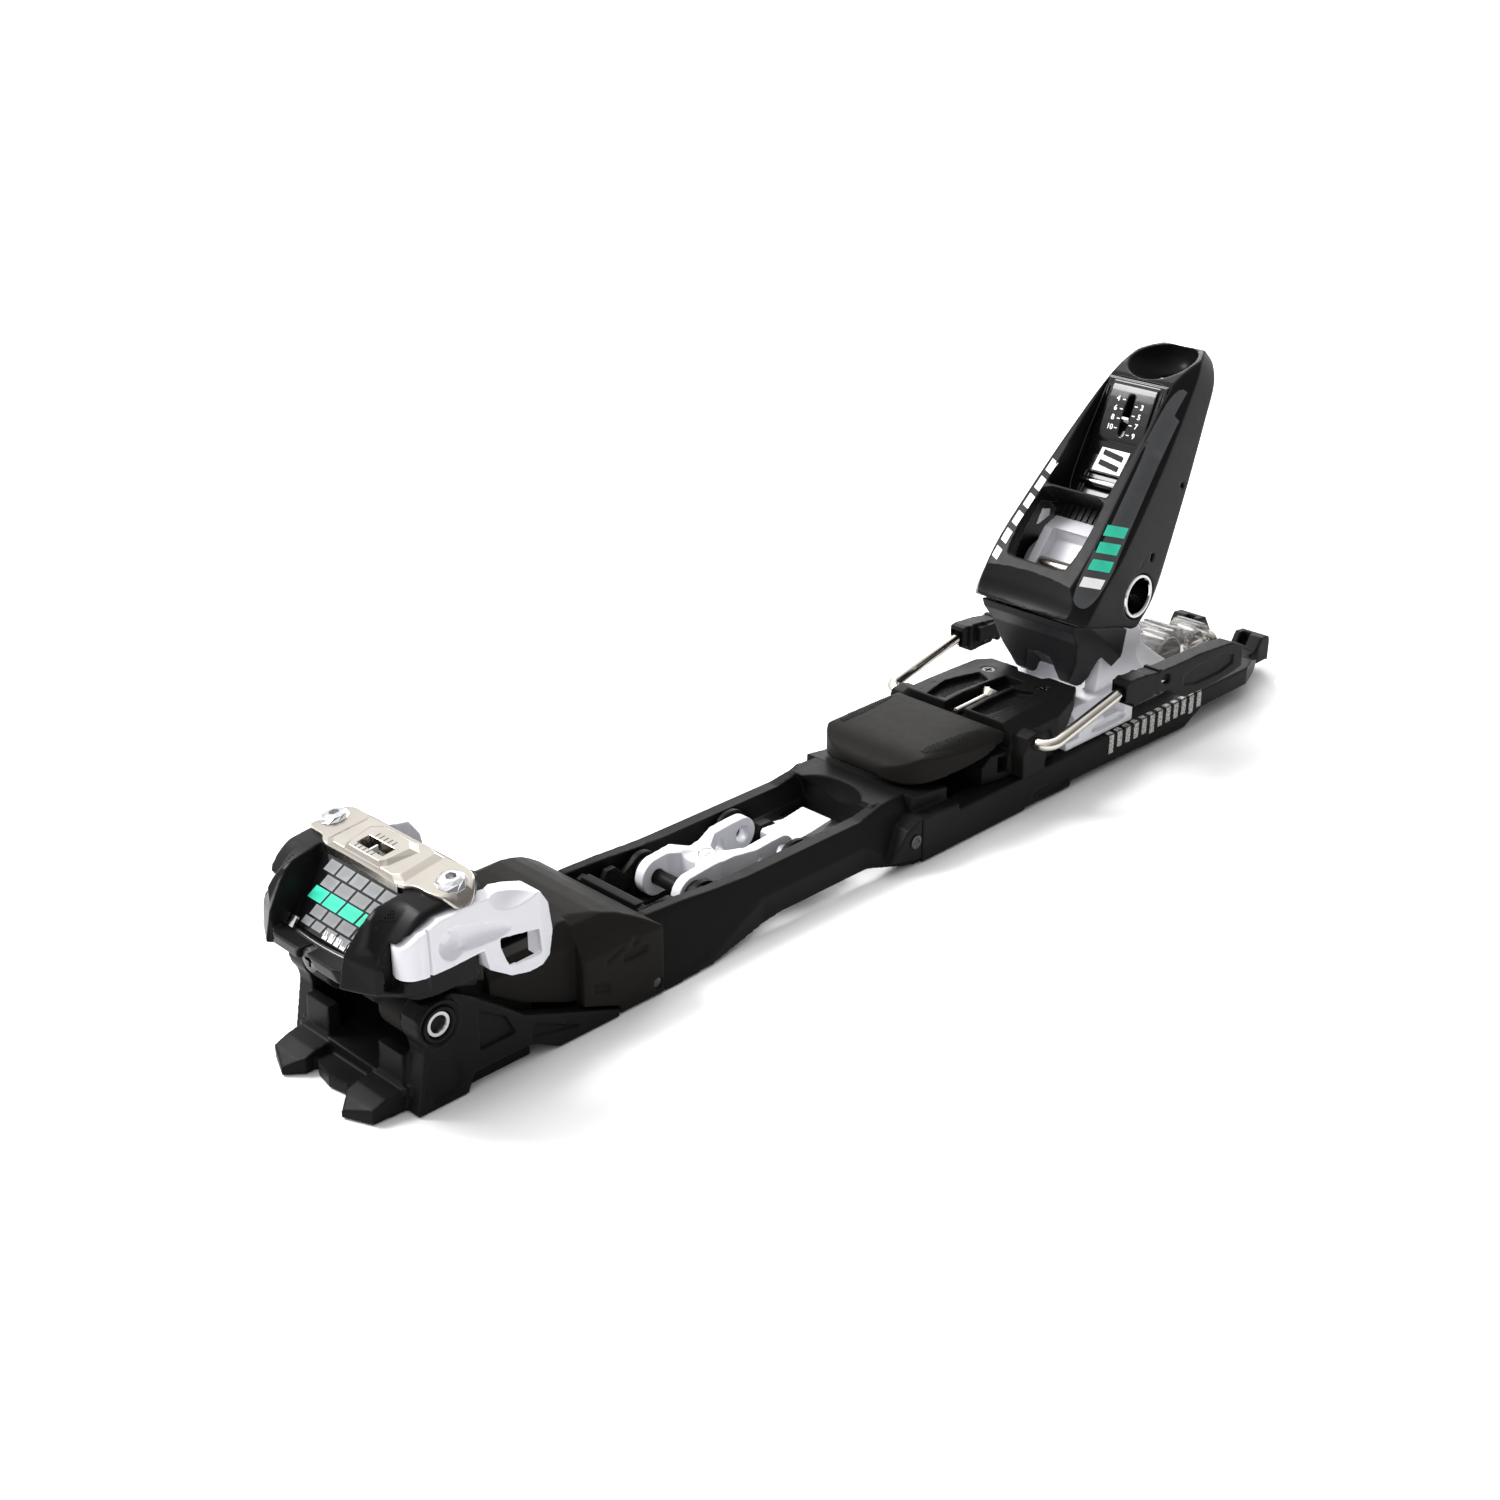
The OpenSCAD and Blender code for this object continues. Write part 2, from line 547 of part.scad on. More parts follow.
module length_screw_cover() color([0.75, 0.76, 0.78, 0.45]) from_tip() difference() {
  union() {
    cover_drum(467, 13.5, 9);
    cover_drum(492, 8.5, 7);
    across(12) polygon([[453, 12], [498, 12], [498, 24], [484, 27], [472, 32], [453, 26]]);
  }
  block(440, 512, -22, 22, -10, 18.6);
  block(497, 512, -5.6, 5.6, 10, 19.6);
  rod(467, 20, 9.6, -6.4, 6.4);
  rod(492, 20, 5.6, -4.8, 4.8);
}

heel_side = [[-33, -28], [-37, -23.6], [-34.5, 10], [-31, 50], [-27.5, 83], [-22, 95], [-14, 106], [-8, 112.5], [0, 111],
  [2.5, 106], [-0.5, 98], [1, 84], [3, 60], [8, 26], [13, 8], [13.5, -4], [9, -12], [0, -15], [-12, -21], [-24, -27]];
heel_front = [[30.4, -30], [30.4, 12], [26, 50], [20.5, 84], [16, 100], [9, 110], [4, 114]];
// The housing's front outline, drawn in by t on both sides.
function flank(t) = mirrored_z([for (p = heel_front) [p[0] - t, p[1]]]);
spring_x = -8;    // the release spring's axis in front of the heel axle, along the leaned housing

module heel_housing() color("#18181b") leaned() difference() {
  intersection() {
    across(62) polygon(heel_side);
    along(-45, 20) polygon(flank(0));
  }
  // room for the carriage's cheeks and the cam
  across(48) polygon([[-29, 20], [-29, -14], [-10, -30], [20, -30], [20, 30], [0, 26], [-14, 26]]);
  translate([spring_x, 0, 20]) cylinder(r = 7.4, h = 62);
  translate([spring_x, 0, 70]) cylinder(r = 2.6 + run, h = 30);
  translate([spring_x, 0, 88.6]) cylinder(r = 5.2, h = 12.4);
  // lower opening over the cam, upper recess for the window
  along(-60, -20) polygon(mirrored_z([[17, -9], [21, 7], [16.5, 26]]));
  intersection() {
    across(60) polygon([[-60, 20], [-18, 24], [-16.5, 24.6], [-24.5, 83.6], [-60, 83.6]]);
    along(-60, 0) polygon(mirrored_z([[16.3, 20], [17.4, 60], [18, 80], [15, 83.6]]));
  }
  block(-27, -12, -2.2, 2.2, 56, 80);
  // thumb scoop
  across(32) polygon([[-40, 86], [-24, 86], [-14, 91], [-7, 99], [-6, 106], [-10, 113], [-40, 113]]);
  both() rod(0, 0, heel_axle_r + run, 20, 32);
  difference() {
    across(64) polygon([[-30.6, 40], [-34, -20], [-26, -25], [-9, 22], [-12, 62], [-19, 82], [-26, 84]]);
    along(-45, 20) polygon(flank(1.2));
  }
}

module heel_side_panels() color("#55575b") leaned() difference() {
  intersection() {
    across(64) polygon([[-30.4, 39.8], [-33.8, -19.6], [-26.2, -24.5], [-9.3, 22.2], [-12.3, 61.8], [-19.2, 81.6],
      [-25.8, 83.6]]);
    along(-45, 20) polygon(flank(0.2));
  }
  along(-50, 30) polygon(flank(1.2));
}

module heel_cup() color("#3b3b3e") leaned() difference() {
  intersection() {
    across(60) polygon([[-24.5, -27.6], [-12, -21.6], [-1, -15.6], [9, -12.6], [14, -22], [16, -34], [12, -43], [6, -44],
      [-4, -38], [-14, -32], [-22, -30]]);
    along(-40, 30) polygon(mirrored_z([[6, -38], [9, -44], [14, -44], [20, -38], [27, -24], [27, -10]]));
  }
  across(48) polygon([[-4, -13.6], [20, -8], [20, -50], [8, -36], [1, -24]]);
}

// The glossy insert: a plate set into the recess, with a slot for the pointer and a lower opening.
module heel_window() color("#111114") leaned() difference() {
  intersection() {
    across(60) polygon([[-19.6, 24.8], [-16.7, 24.8], [-24.5, 83.2], [-28.4, 83.2], [-29.4, 80]]);
    along(-60, 0) polygon(mirrored_z([[16.1, 20], [17.2, 60], [17.8, 80], [15, 83.2]]));
  }
  block(-40, -12, -2, 2, 56.4, 78);
  block(-40, -17.6, -9.6, 9.6, 29, 43);
}

module heel_indicator() color("#e8e8e8") leaned() {
  block(-25.4, -17, -1.7, 1.7, 64, 68);
  translate([spring_x, 0, 64]) difference() {
    union() {
      cylinder(r = 7, h = 5);
      block(-11, -4, -1.7, 1.7, 0, 4);
    }
    translate([0, 0, -1]) cylinder(r = 2.6 + run, h = 8);
  }
}

module heel_spring() color("#98989a") leaned() translate([spring_x, 0, 31.2]) coil(5, 1.6, 28.4, spring_turns);

module heel_spring_piston() color("#8b8b8d") leaned() translate([spring_x, 0, 26]) {
  cylinder(r = 7.2, h = 5);
  cylinder(r = 3, h = 12);
}

module heel_release_screw() color("#c4c4c6") leaned() translate([spring_x, 0, 0]) {
  translate([0, 0, 46]) cylinder(r = 2.6, h = 45);
  translate([0, 0, 93]) screw_head(4.8, 4);
}

module heel_cross_pin() color("#d0d0d2") leaned() rod(-20.3, 37, 1.7, -9.6, 9.6);

// White cam link seen through the lower opening.
module cam_link() color("#e2e2e6") leaned() difference() {
  slab(-15.5, 15.5) polygon([[-20.5, -9], [-20.5, 12], [-15.5, 21], [-12, 22], [-10.8, 8], [-10.8, -12], [-14, -14]]);
  slab(-11, 11) polygon([[-30, -20], [-30, 8], [-19, 13], [-14, 10], [-13.4, -20]]);
}

module cam_roller() color("#cfcfd1") leaned() rod(-17, -3, 3, -11, 11);

// ---- brake, on the same carriage ----

module brake_base() color("#1c1c1e") from_tip() difference() {
  union() {
    intersection() {
      across(80) polygon([[298, floor_z + gap], [349.6, floor_z + gap], [349.6, 20.4], [361.8, 26.4], [366, 31.4],
        [377, 31.4], [377, 35], [374, 38], [350, 39.4], [334, 39.8], [318, 39], [312, 30], [306, 24], [306, 13.6],
        [298, 13.6]]);
      rise(0, 45) polygon(mirrored([[297, 22], [306, 28], [316, 30], [332, 31], [352, 31], [366, 28], [377, 21],
        [377, 10], [371, 7]]));
      along(290, 380) polygon(mirrored_z([[23.4, 0], [23.4, 16.4], [31, 16.4], [31, 34], [24, 41]]));
    }
    both() slab(30, 37) polygon([[322, 17], [336, 17], [337, 27], [334.5, 34], [330, 35.5], [324, 34.5], [321, 27]]);
  }
  rod(brake_s, brake_z, wire_d / 2 + run, -40, 40);
  block(310, 362, -5, 5, 34.4, 50);
  block(341, 352, -5, 5, 32, 50);
  both() {
    rise(36.6, 50) polygon([[322, 8], [352, 7], [356, 15], [338, 19], [322, 16]]);
    translate([362, 15, 30]) cylinder(r = 3.2, h = 14);
    slab(24, 40) polygon([[314, 20], [320, 20], [320, 26], [314, 27]]);
  }
  block(290, 321, -40, 40, 28.4, 50);
  translate([340, 0, 14]) rotate([0, 90, 0]) cylinder(r = 4.6, h = 20);
}

module brake_screws() color("#2c2c2e") from_tip() both() translate([362, 15, 38.4]) screw_head(3.1, 3);

module brake_rod() color("#b5b2aa") from_tip() {
  translate([322, 0, 36]) rotate([0, 88, 0]) cylinder(r = 1.3, h = 24);
  translate([345, 0, 36.6]) rotate([0, 35, 0]) translate([0, 0, 2]) screw_head(3.8, 3.4);
}

module brake_spring() color("#96969a") from_tip() translate([301.8, 0, 17.6]) rotate([90, 0, 0])
  translate([0, 0, -9]) coil(3, 0.9, 18, 5);

// Boot pad and pedal in one: hinged at its rear edge.
module brake_pedal() color("#2a2a2c") from_tip() difference() {
  union() {
    intersection() {
      across(70) polygon([[262, 30], [264, 27.6], [300, 28.6], [317, 31.6], [317, 38.6], [312, 40], [276, 39.8], [267, 38],
        [263, 34]]);
      rise(20, 50) polygon(mirrored([[262, 12], [264, 20], [270, 24.6], [296, 28.4], [313, 29.2], [316, 28]]));
      along(250, 330) polygon(mirrored_z([[29.4, 20], [29.4, 36], [25.5, 40], [20, 42]]));
    }
    both() rod(pedal_s, pedal_z, 2.8, 16, 28);
  }
  both() rod(pedal_s, pedal_z, 1.5, 14, 30);
}

module pedal_grips() color("#161617") from_tip() both() for (i = [0:7])
  translate([278 + 4 * i, 21.4 + 0.26 * i, 40]) rotate([0, 0, 5]) cube([2.2, 2, 0.8]);

// A bend in the wire, from angle a0 to a1 about a centre, drawn in the XY plane.
module bend(a0, a1, r) rotate([0, 0, a0]) rotate_extrude(angle = a1 - a0) translate([r, 0]) circle(r = wire_d / 2);

// The brake wire of the left side: from the pivot outwards, round a bend, and back beside the heel.
module brake_arm() {
  r = wire_d / 2;
  knee_r = 8;
  knee_t = knee_r * tan((arm_rise + arm_drop) / 2);
  rod(brake_s, brake_z, r, 0, arm_y - arm_bend);
  translate([brake_s, arm_y - arm_bend, brake_z]) rotate([0, -arm_rise, 0]) {
    translate([arm_bend, 0, 0]) bend(90, 180, arm_bend);
    translate([arm_bend, arm_bend, 0]) rotate([0, 90, 0]) cylinder(r = r, h = arm_len - arm_bend - knee_t);
    translate([arm_len - knee_t, arm_bend, -knee_r]) rotate([90, 0, 0]) bend(90 - arm_rise - arm_drop, 90, knee_r);
  }
  translate([brake_s + arm_len * cos(arm_rise), arm_y, brake_z + arm_len * sin(arm_rise)])
    rotate([0, 90 + arm_drop, 0]) translate([0, 0, knee_t]) cylinder(r = r, h = 60 - knee_t);
}

module brake_arm_left() color("#a59d8f") from_tip() brake_arm();
module brake_arm_right() color("#a59d8f") from_tip() mirror([0, 1, 0]) brake_arm();

// The moulded tip that slides over the wire and digs into the snow.
module brake_tip() difference() {
  union() {
    slab(arm_y - 3.8, arm_y + 3.8) polygon([[375, 37.5], [381, 36.8], [381, 34], [396, 34.6], [396, 35.6], [407, 34],
      [412, 30], [420, 27], [437, 26], [458, 27.5], [464, 28.5], [464, 38.5], [455, 42.5], [430, 44.4], [409, 44.6],
      [396, 45.2], [390, 46.2], [378, 47], [375, 46.4]]);
    slab(arm_y - 6, arm_y - 3.7) polygon([[384, 38], [400, 37], [400, 44], [384, 45]]);
  }
  translate([brake_s + arm_len * cos(arm_rise), arm_y, brake_z + arm_len * sin(arm_rise)])
    rotate([0, 90 + arm_drop, 0]) translate([0, 0, -4]) cylinder(r = wire_d / 2, h = 64);
  slab(arm_y - 3.3, arm_y + 3.3) polygon([[373, 37.2], [378, 38], [378, 45], [373, 44.4]]);
}

module brake_tip_left() color("#1a1a1c") from_tip() brake_tip();
module brake_tip_right() color("#1a1a1c") from_tip() mirror([0, 1, 0]) brake_tip();

front_slide_plate();
rear_plate();
mode_anchor();
axle_block();
toe_axle();
axle_bushes();
slider_bridge();
mode_pivot_pin();
mode_lever();
mode_crank_pin();
climbing_aid();
climbing_step();
toe_platform();
centre_frame();
rear_track();
length_scale();
frame_screws();
toe_housing();
toe_cover();
toe_cover_rivets();
toe_window();
toe_spring();
toe_spring_rod();
toe_release_screw();
toe_indicator();
wing_pins();
wing_left();
wing_right();
sole_plate_carrier();
sole_glide_plate();
sole_height_screw();
heel_carriage();
heel_axle();
length_screw();
length_screw_cover();
heel_housing();
heel_side_panels();
heel_cup();
heel_window();
heel_indicator();
heel_spring();
heel_spring_piston();
heel_release_screw();
heel_cross_pin();
cam_link();
cam_roller();
brake_base();
brake_screws();
brake_rod();
brake_spring();
brake_pedal();
pedal_grips();
brake_arm_left();
brake_arm_right();
brake_tip_left();
brake_tip_right();
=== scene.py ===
"""Looks for a touring binding: detailed pieces, materials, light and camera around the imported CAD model."""

import math

import bmesh
import bpy
from mathutils import Matrix, Vector
from mathutils.bvhtree import BVHTree


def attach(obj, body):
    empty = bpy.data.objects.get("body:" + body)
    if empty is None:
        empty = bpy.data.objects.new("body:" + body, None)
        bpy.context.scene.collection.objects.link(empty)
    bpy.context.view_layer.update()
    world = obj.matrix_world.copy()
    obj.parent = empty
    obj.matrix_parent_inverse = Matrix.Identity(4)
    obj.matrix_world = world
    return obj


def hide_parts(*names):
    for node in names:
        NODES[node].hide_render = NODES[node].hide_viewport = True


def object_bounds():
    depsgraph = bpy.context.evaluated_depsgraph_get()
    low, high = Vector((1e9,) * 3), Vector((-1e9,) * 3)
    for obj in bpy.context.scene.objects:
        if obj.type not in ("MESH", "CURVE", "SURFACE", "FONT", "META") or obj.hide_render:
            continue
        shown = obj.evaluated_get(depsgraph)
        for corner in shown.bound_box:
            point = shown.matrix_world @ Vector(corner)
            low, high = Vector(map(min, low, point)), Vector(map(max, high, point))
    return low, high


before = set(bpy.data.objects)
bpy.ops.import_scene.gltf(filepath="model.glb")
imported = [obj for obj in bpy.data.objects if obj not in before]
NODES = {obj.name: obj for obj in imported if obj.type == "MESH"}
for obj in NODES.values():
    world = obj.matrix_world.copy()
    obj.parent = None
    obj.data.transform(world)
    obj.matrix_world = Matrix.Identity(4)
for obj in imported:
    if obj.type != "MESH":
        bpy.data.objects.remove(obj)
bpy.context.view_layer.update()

# ---- frames: millimetres back from the front tip, and the heel's leaned frame ----

MM = 0.001
WELD_WITHIN = 1e-6
SHARP_FROM = math.radians(35)
SCREWS_FROM_TIP = 100.0
HEEL_AXLE = (404.0, 73.0)
HEEL_LEAN = math.radians(40)
FROM_TIP = Matrix.Scale(MM, 4) @ Matrix.Translation((-SCREWS_FROM_TIP, 0, 0))
AT_HEEL_AXLE = Matrix.Translation((HEEL_AXLE[0], 0, HEEL_AXLE[1]))
DOWN = (0, 0, -1)
BACKWARD = (1, 0, 0)
LEANED = FROM_TIP @ AT_HEEL_AXLE @ Matrix.Rotation(HEEL_LEAN, 4, "Y")


# ---- meshes ----

def in_scene(name, data):
    """A new object of the scene, which holds the data."""
    obj = bpy.data.objects.new(name, data)
    bpy.context.scene.collection.objects.link(obj)
    return obj


def linked(bm, name="work"):
    """Makes a bmesh into an object of the scene."""
    mesh = bpy.data.meshes.new(name)
    bm.to_mesh(mesh)
    bm.free()
    return in_scene(name, mesh)


def shape(build, place=FROM_TIP):
    """A working object from a function that fills a bmesh in millimetres."""
    bm = bmesh.new()
    build(bm)
    bm.transform(place)
    bmesh.ops.recalc_face_normals(bm, faces=bm.faces)
    return linked(bm)


def copy_of(node):
    """A CAD node as a welded working mesh."""
    bm = bmesh.new()
    bm.from_mesh(NODES[node].data)
    bmesh.ops.remove_doubles(bm, verts=bm.verts, dist=WELD_WITHIN)
    return linked(bm)


def joined(parts):
    """Several working meshes as one, without cutting them into each other."""
    bm = bmesh.new()
    for part in parts:
        bm.from_mesh(part.data)
        drop(part)
    return linked(bm)


def drop(obj):
    """Takes a working mesh out of the scene."""
    mesh = obj.data
    bpy.data.objects.remove(obj)
    bpy.data.meshes.remove(mesh)


def bake_modifiers(obj):
    """Replaces the object's mesh by what its modifiers make of it."""
    graph = bpy.context.evaluated_depsgraph_get()
    graph.update()
    mesh = bpy.data.meshes.new_from_object(obj.evaluated_get(graph))
    old = obj.data
    obj.modifiers.clear()
    obj.data = mesh
    bpy.data.meshes.remove(old)
    return obj


def combined(target, others, operation):
    """Cuts the others out of the target, adds them to it, or keeps what they share."""
    for other in others:
        step = target.modifiers.new("step", "BOOLEAN")
        step.operation = operation
        step.solver = "EXACT"
        step.object = other
        bake_modifiers(target)
        drop(other)
    return target


def moulded(obj, voxel=0.45, passes=4, share=0.25):
    """Rounds every edge as a mould does: an even mesh, smoothed, then thinned out."""
    net = obj.modifiers.new("net", "REMESH")
    net.mode = "VOXEL"
    net.voxel_size = voxel * MM
    soft = obj.modifiers.new("soft", "SMOOTH")
    soft.factor = 0.5
    soft.iterations = passes
    thin = obj.modifiers.new("thin", "DECIMATE")
    thin.ratio = share
    return bake_modifiers(obj)


def carved(node, cuts, voxel, passes, share=0.25):
    """A rounded copy of a CAD node with pieces cut out of it."""
    return moulded(combined(copy_of(node), cuts, "DIFFERENCE"), voxel, passes, share)


def piece(obj, name, material, body, stands_for=()):
    """Names a finished mesh, gives it its look and lets it ride on its body."""
    obj.name = name
    obj.data.name = name
    obj.data.materials.clear()
    obj.data.materials.append(material)
    for face in obj.data.polygons:
        face.use_smooth = True
    obj.data.set_sharp_from_angle(angle=SHARP_FROM)
    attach(obj, body)
    if stands_for:
        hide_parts(*stands_for)
    return obj


# ---- solids to build and carve with, in millimetres ----

ORDER = {"x": (2, 0, 1), "y": (0, 2, 1), "z": (0, 1, 2)}
# How far rays look for a surface, in metres: for studs, for ink and for dial numbers.
REACH = 0.03
INK_REACH = 0.04
DIGIT_REACH = 0.1


def span(side, low, high):
    """The stretch from low to high on one side of the middle, as (y0, y1)."""
    return (low, high) if side > 0 else (-high, -low)


def circle(a, b, radius, count, twist=0.0):
    """Evenly spaced points on a circle round (a, b)."""
    turns = [2 * math.pi * (i + twist) / count for i in range(count)]
    return [(a + radius * math.cos(turn), b + radius * math.sin(turn)) for turn in turns]


def bridge(bm, loops, closed=False):
    """Faces between each loop of vertices and the next, and from the last to the first if closed."""
    for low, high in zip(loops, loops[1:] + (loops[:1] if closed else [])):
        for i in range(len(low)):
            j = (i + 1) % len(low)
            bm.faces.new((low[i], low[j], high[j], high[i]))


def prism(outline, low, high, axis="y", place=FROM_TIP):
    """An outline extruded along an axis: (x, z) along y, (y, z) along x, or (x, y) along z."""
    def build(bm):
        rings = []
        for level in (low, high):
            points = [(a, b, level) for a, b in outline]
            rings.append([bm.verts.new([point[i] for i in ORDER[axis]]) for point in points])
        bm.faces.new(rings[0])
        bm.faces.new(rings[1])
        bridge(bm, rings)
    return shape(build, place)


def box(x0, x1, y0, y1, z0, z1, place=FROM_TIP):
    """A block between two levels on each axis."""
    return prism([(x0, z0), (x1, z0), (x1, z1), (x0, z1)], y0, y1, "y", place)


def rod(x, z, radius, y0, y1, place=FROM_TIP):
    """A round rod across the object."""
    return prism(circle(x, z, radius, 48), y0, y1, "y", place)


def post(x, y, radius, z0, z1, place=FROM_TIP):
    """A round post standing up."""
    return prism(circle(x, y, radius, 40), z0, z1, "z", place)


def egg(centre, radii, tilt=0.0, place=FROM_TIP):
    """An ellipsoid, tilted about the axis across the object, in degrees."""
    def build(bm):
        bmesh.ops.create_uvsphere(bm, u_segments=56, v_segments=28, radius=1.0)
        bm.transform(Matrix.Translation(centre) @ Matrix.Rotation(math.radians(-tilt), 4, "Y")
                     @ Matrix.Diagonal((*radii, 1.0)))
    return shape(build, place)


def rounded(outline, rounds=2, closed=True):
    """Cuts an outline's corners again and again, which turns them into curves."""
    for _ in range(rounds):
        cut = []
        count = len(outline)
        for i in range(count if closed else count - 1):
            a, b = outline[i], outline[(i + 1) % count]
            cut.append(tuple(0.75 * p + 0.25 * q for p, q in zip(a, b)))
            cut.append(tuple(0.25 * p + 0.75 * q for p, q in zip(a, b)))
        outline = cut if closed else [outline[0], *cut[1:-1], outline[-1]]
    return outline


def mirrored(points):
    """Adds the mirror image of (y, z) points to close an outline."""
    return list(points) + [(-y, z) for y, z in reversed(points)]


def flipped(points):
    """Adds the mirror image of (x, y) points to close an outline."""
    return list(points) + [(x, -y) for x, y in reversed(points)]


def curve_through(rows, steps):
    """A smooth run of rows through the given rows, which hold a level and then its values."""
    ends = [rows[0]] + list(rows) + [rows[-1]]
    out = []
    for k in range(1, len(ends) - 2):
        p0, p1, p2, p3 = ends[k - 1:k + 3]
        for i in range(steps):
            t = i / steps
            out.append(tuple(
                0.5 * (2 * b + (c - a) * t + (2 * a - 5 * b + 4 * c - d) * t ** 2
                       + (3 * b - a - 3 * c + d) * t ** 3)
                for a, b, c, d in zip(p0, p1, p2, p3)))
    out.append(tuple(rows[-1]))
    return out


def loft(rings, place=FROM_TIP, closed=False):
    """A skin through rings of (x, y, z) points that have the same count, capped or closed to a loop."""
    def build(bm):
        loops = [[bm.verts.new(point) for point in ring] for ring in rings]
        bridge(bm, loops, closed)
        if not closed:
            bm.faces.new(loops[0])
            bm.faces.new(loops[-1])
    return shape(build, place)


def tube(path, radius, place=FROM_TIP, sides=10, closed=False):
    """A round bead along a path of points."""
    points = [Vector(point) for point in path]
    count = len(points)
    rings = []
    side = None
    for i, point in enumerate(points):
        ahead = points[(i + 1) % count] if closed or i + 1 < count else point
        behind = points[i - 1] if closed or i > 0 else point
        heading = (ahead - behind).normalized()
        if side is None:
            side = heading.orthogonal()
        side = (side - heading * side.dot(heading)).normalized()
        over = heading.cross(side)
        rings.append([point + a * side + b * over for a, b in circle(0, 0, radius, sides)])
    return loft(rings, place, closed)


def both(make):
    """What make builds with side 1, and again with side -1."""
    return [item for side in (1, -1) for item in make(side)]


def surface_of(obj):
    """A search tree of the finished surface, for rays."""
    graph = bpy.context.evaluated_depsgraph_get()
    return BVHTree.FromObject(obj, graph)


def studs(target, points, toward, size, height):
    """Small blunt pyramids on the target, where rays from the points meet it: a knurled patch."""
    tree = surface_of(target)
    aim = Vector(toward)
    corners = ((1, 1), (-1, 1), (-1, -1), (1, -1))
    foot, blunt = 0.1, 0.45

    def build(bm):
        for point in points:
            hit, normal, _, _ = tree.ray_cast(FROM_TIP @ Vector(point), aim, REACH)
            if hit is None or normal.dot(aim) > -0.2:
                continue
            across = aim.orthogonal()
            side = (across - normal * across.dot(normal)).normalized()
            over = normal.cross(side)
            rings = []
            for level, half in ((-foot, size / 2), (height, size / 2 * blunt)):
                middle = hit + normal * level * MM
                ring = [middle + (side * a + over * b) * half * MM for a, b in corners]
                rings.append([bm.verts.new(corner) for corner in ring])
            bm.faces.new(rings[0])
            bm.faces.new(rings[1])
            bridge(bm, rings)
    return shape(build, Matrix.Identity(4))


def knurled(target, outlines, above, pitch, size, height):
    """Studs on a piece's top within (x, y) outlines, found from a level above it."""
    patches = []
    for outline in outlines:
        points = [(x, y, above) for x, y in grid_in(outline, pitch)]
        patches.append(studs(target, points, DOWN, size, height))
    return joined(patches)


def grid_in(outline, pitch):
    """Points of a staggered grid that lie inside an outline."""
    us = [p[0] for p in outline]
    vs = [p[1] for p in outline]
    found = []
    row = 0
    v = min(vs) + pitch / 2
    while v < max(vs):
        u = min(us) + pitch * (0.5 if row % 2 else 0.0)
        while u < max(us):
            if inside(outline, u, v):
                found.append((u, v))
            u += pitch
        v += pitch * 0.5
        row += 1
    return found


def inside(outline, u, v):
    """Whether (u, v) lies within an outline, by counting crossings."""
    result = False
    count = len(outline)
    for i in range(count):
        (u0, v0), (u1, v1) = outline[i], outline[(i + 1) % count]
        if (v0 > v) != (v1 > v) and u < (u1 - u0) * (v - v0) / (v1 - v0) + u0:
            result = not result
    return result


def cut_up(outline, step):
    """A flat shape as a mesh of small triangles."""
    part = bmesh.new()
    part.faces.new([part.verts.new((u, v, 0)) for u, v in outline])
    for axis, normal in enumerate(((1, 0, 0), (0, 1, 0))):
        values = [point[axis] for point in outline]
        at = min(values) + step
        while at < max(values):
            bmesh.ops.bisect_plane(part, geom=part.verts[:] + part.edges[:] + part.faces[:],
                                   plane_co=Vector(normal) * at, plane_no=normal)
            at += step
    bmesh.ops.triangulate(part, faces=part.faces)
    return part


def printed(target, shapes, lay, toward, place=FROM_TIP, ink=0.06, step=1.2):
    """Ink laid on a curved surface: flat shapes are carried onto the target along a direction.
    lay turns a shape's (u, v) into a point in place's millimetres, outside the target."""
    tree = surface_of(target)
    aim = (place.to_3x3() @ Vector(toward)).normalized()

    def build(bm):
        for outline in shapes:
            part = cut_up(outline, step)
            tops = {}
            for vert in part.verts:
                start = place @ Vector(lay(vert.co.x, vert.co.y))
                hit, normal, _, _ = tree.ray_cast(start, aim, INK_REACH)
                if hit is not None:
                    tops[vert] = (hit, normal)
            made = {}
            for face in part.faces:
                if not all(v in tops for v in face.verts):
                    continue
                for level, key in ((ink, "top"), (-0.05, "low")):
                    ring = []
                    for v in face.verts:
                        if (v, key) not in made:
                            hit, normal = tops[v]
                            made[v, key] = bm.verts.new(hit + normal * level * MM)
                        ring.append(made[v, key])
                    bm.faces.new(ring if key == "top" else ring[::-1])
            for edge in part.edges:
                a, b = edge.verts
                rim = [f for f in edge.link_faces if all(v in tops for v in f.verts)]
                if len(rim) == 1:
                    bm.faces.new((made[a, "top"], made[b, "top"], made[b, "low"], made[a, "low"]))
            part.free()
    return shape(build, Matrix.Identity(4))


def slanted(u0, u1, v0, v1, lean=0.0):
    """A bar whose top is shifted by lean."""
    return [(u0, v0), (u1, v0), (u1 + lean, v1), (u0 + lean, v1)]


def turned(profile, centre, place=FROM_TIP):
    """A ring turned about a cross axis: the profile is (radius, y), the centre (x, z)."""
    rings = [[(x, y, z) for x, z in circle(*centre, radius, 64)] for radius, y in profile]
    return loft(rings, place, closed=True)


# ---- materials ----

def new_material(name):
    """A material with its node tree and its shader."""
    material = bpy.data.materials.new(name)
    material.use_nodes = True
    tree = material.node_tree
    return material, tree, tree.nodes["Principled BSDF"]


def set_inputs(node, **values):
    """Sets a node's inputs, named with _ for each space."""
    for key, value in values.items():
        node.inputs[key.replace("_", " ")].default_value = value


def add(tree, kind, **values):
    """Adds a node and sets its own settings, and its inputs as set_inputs does."""
    node = tree.nodes.new(kind)
    for key, value in values.items():
        if hasattr(node, key):
            setattr(node, key, value)
        else:
            set_inputs(node, **{key: value})
    return node


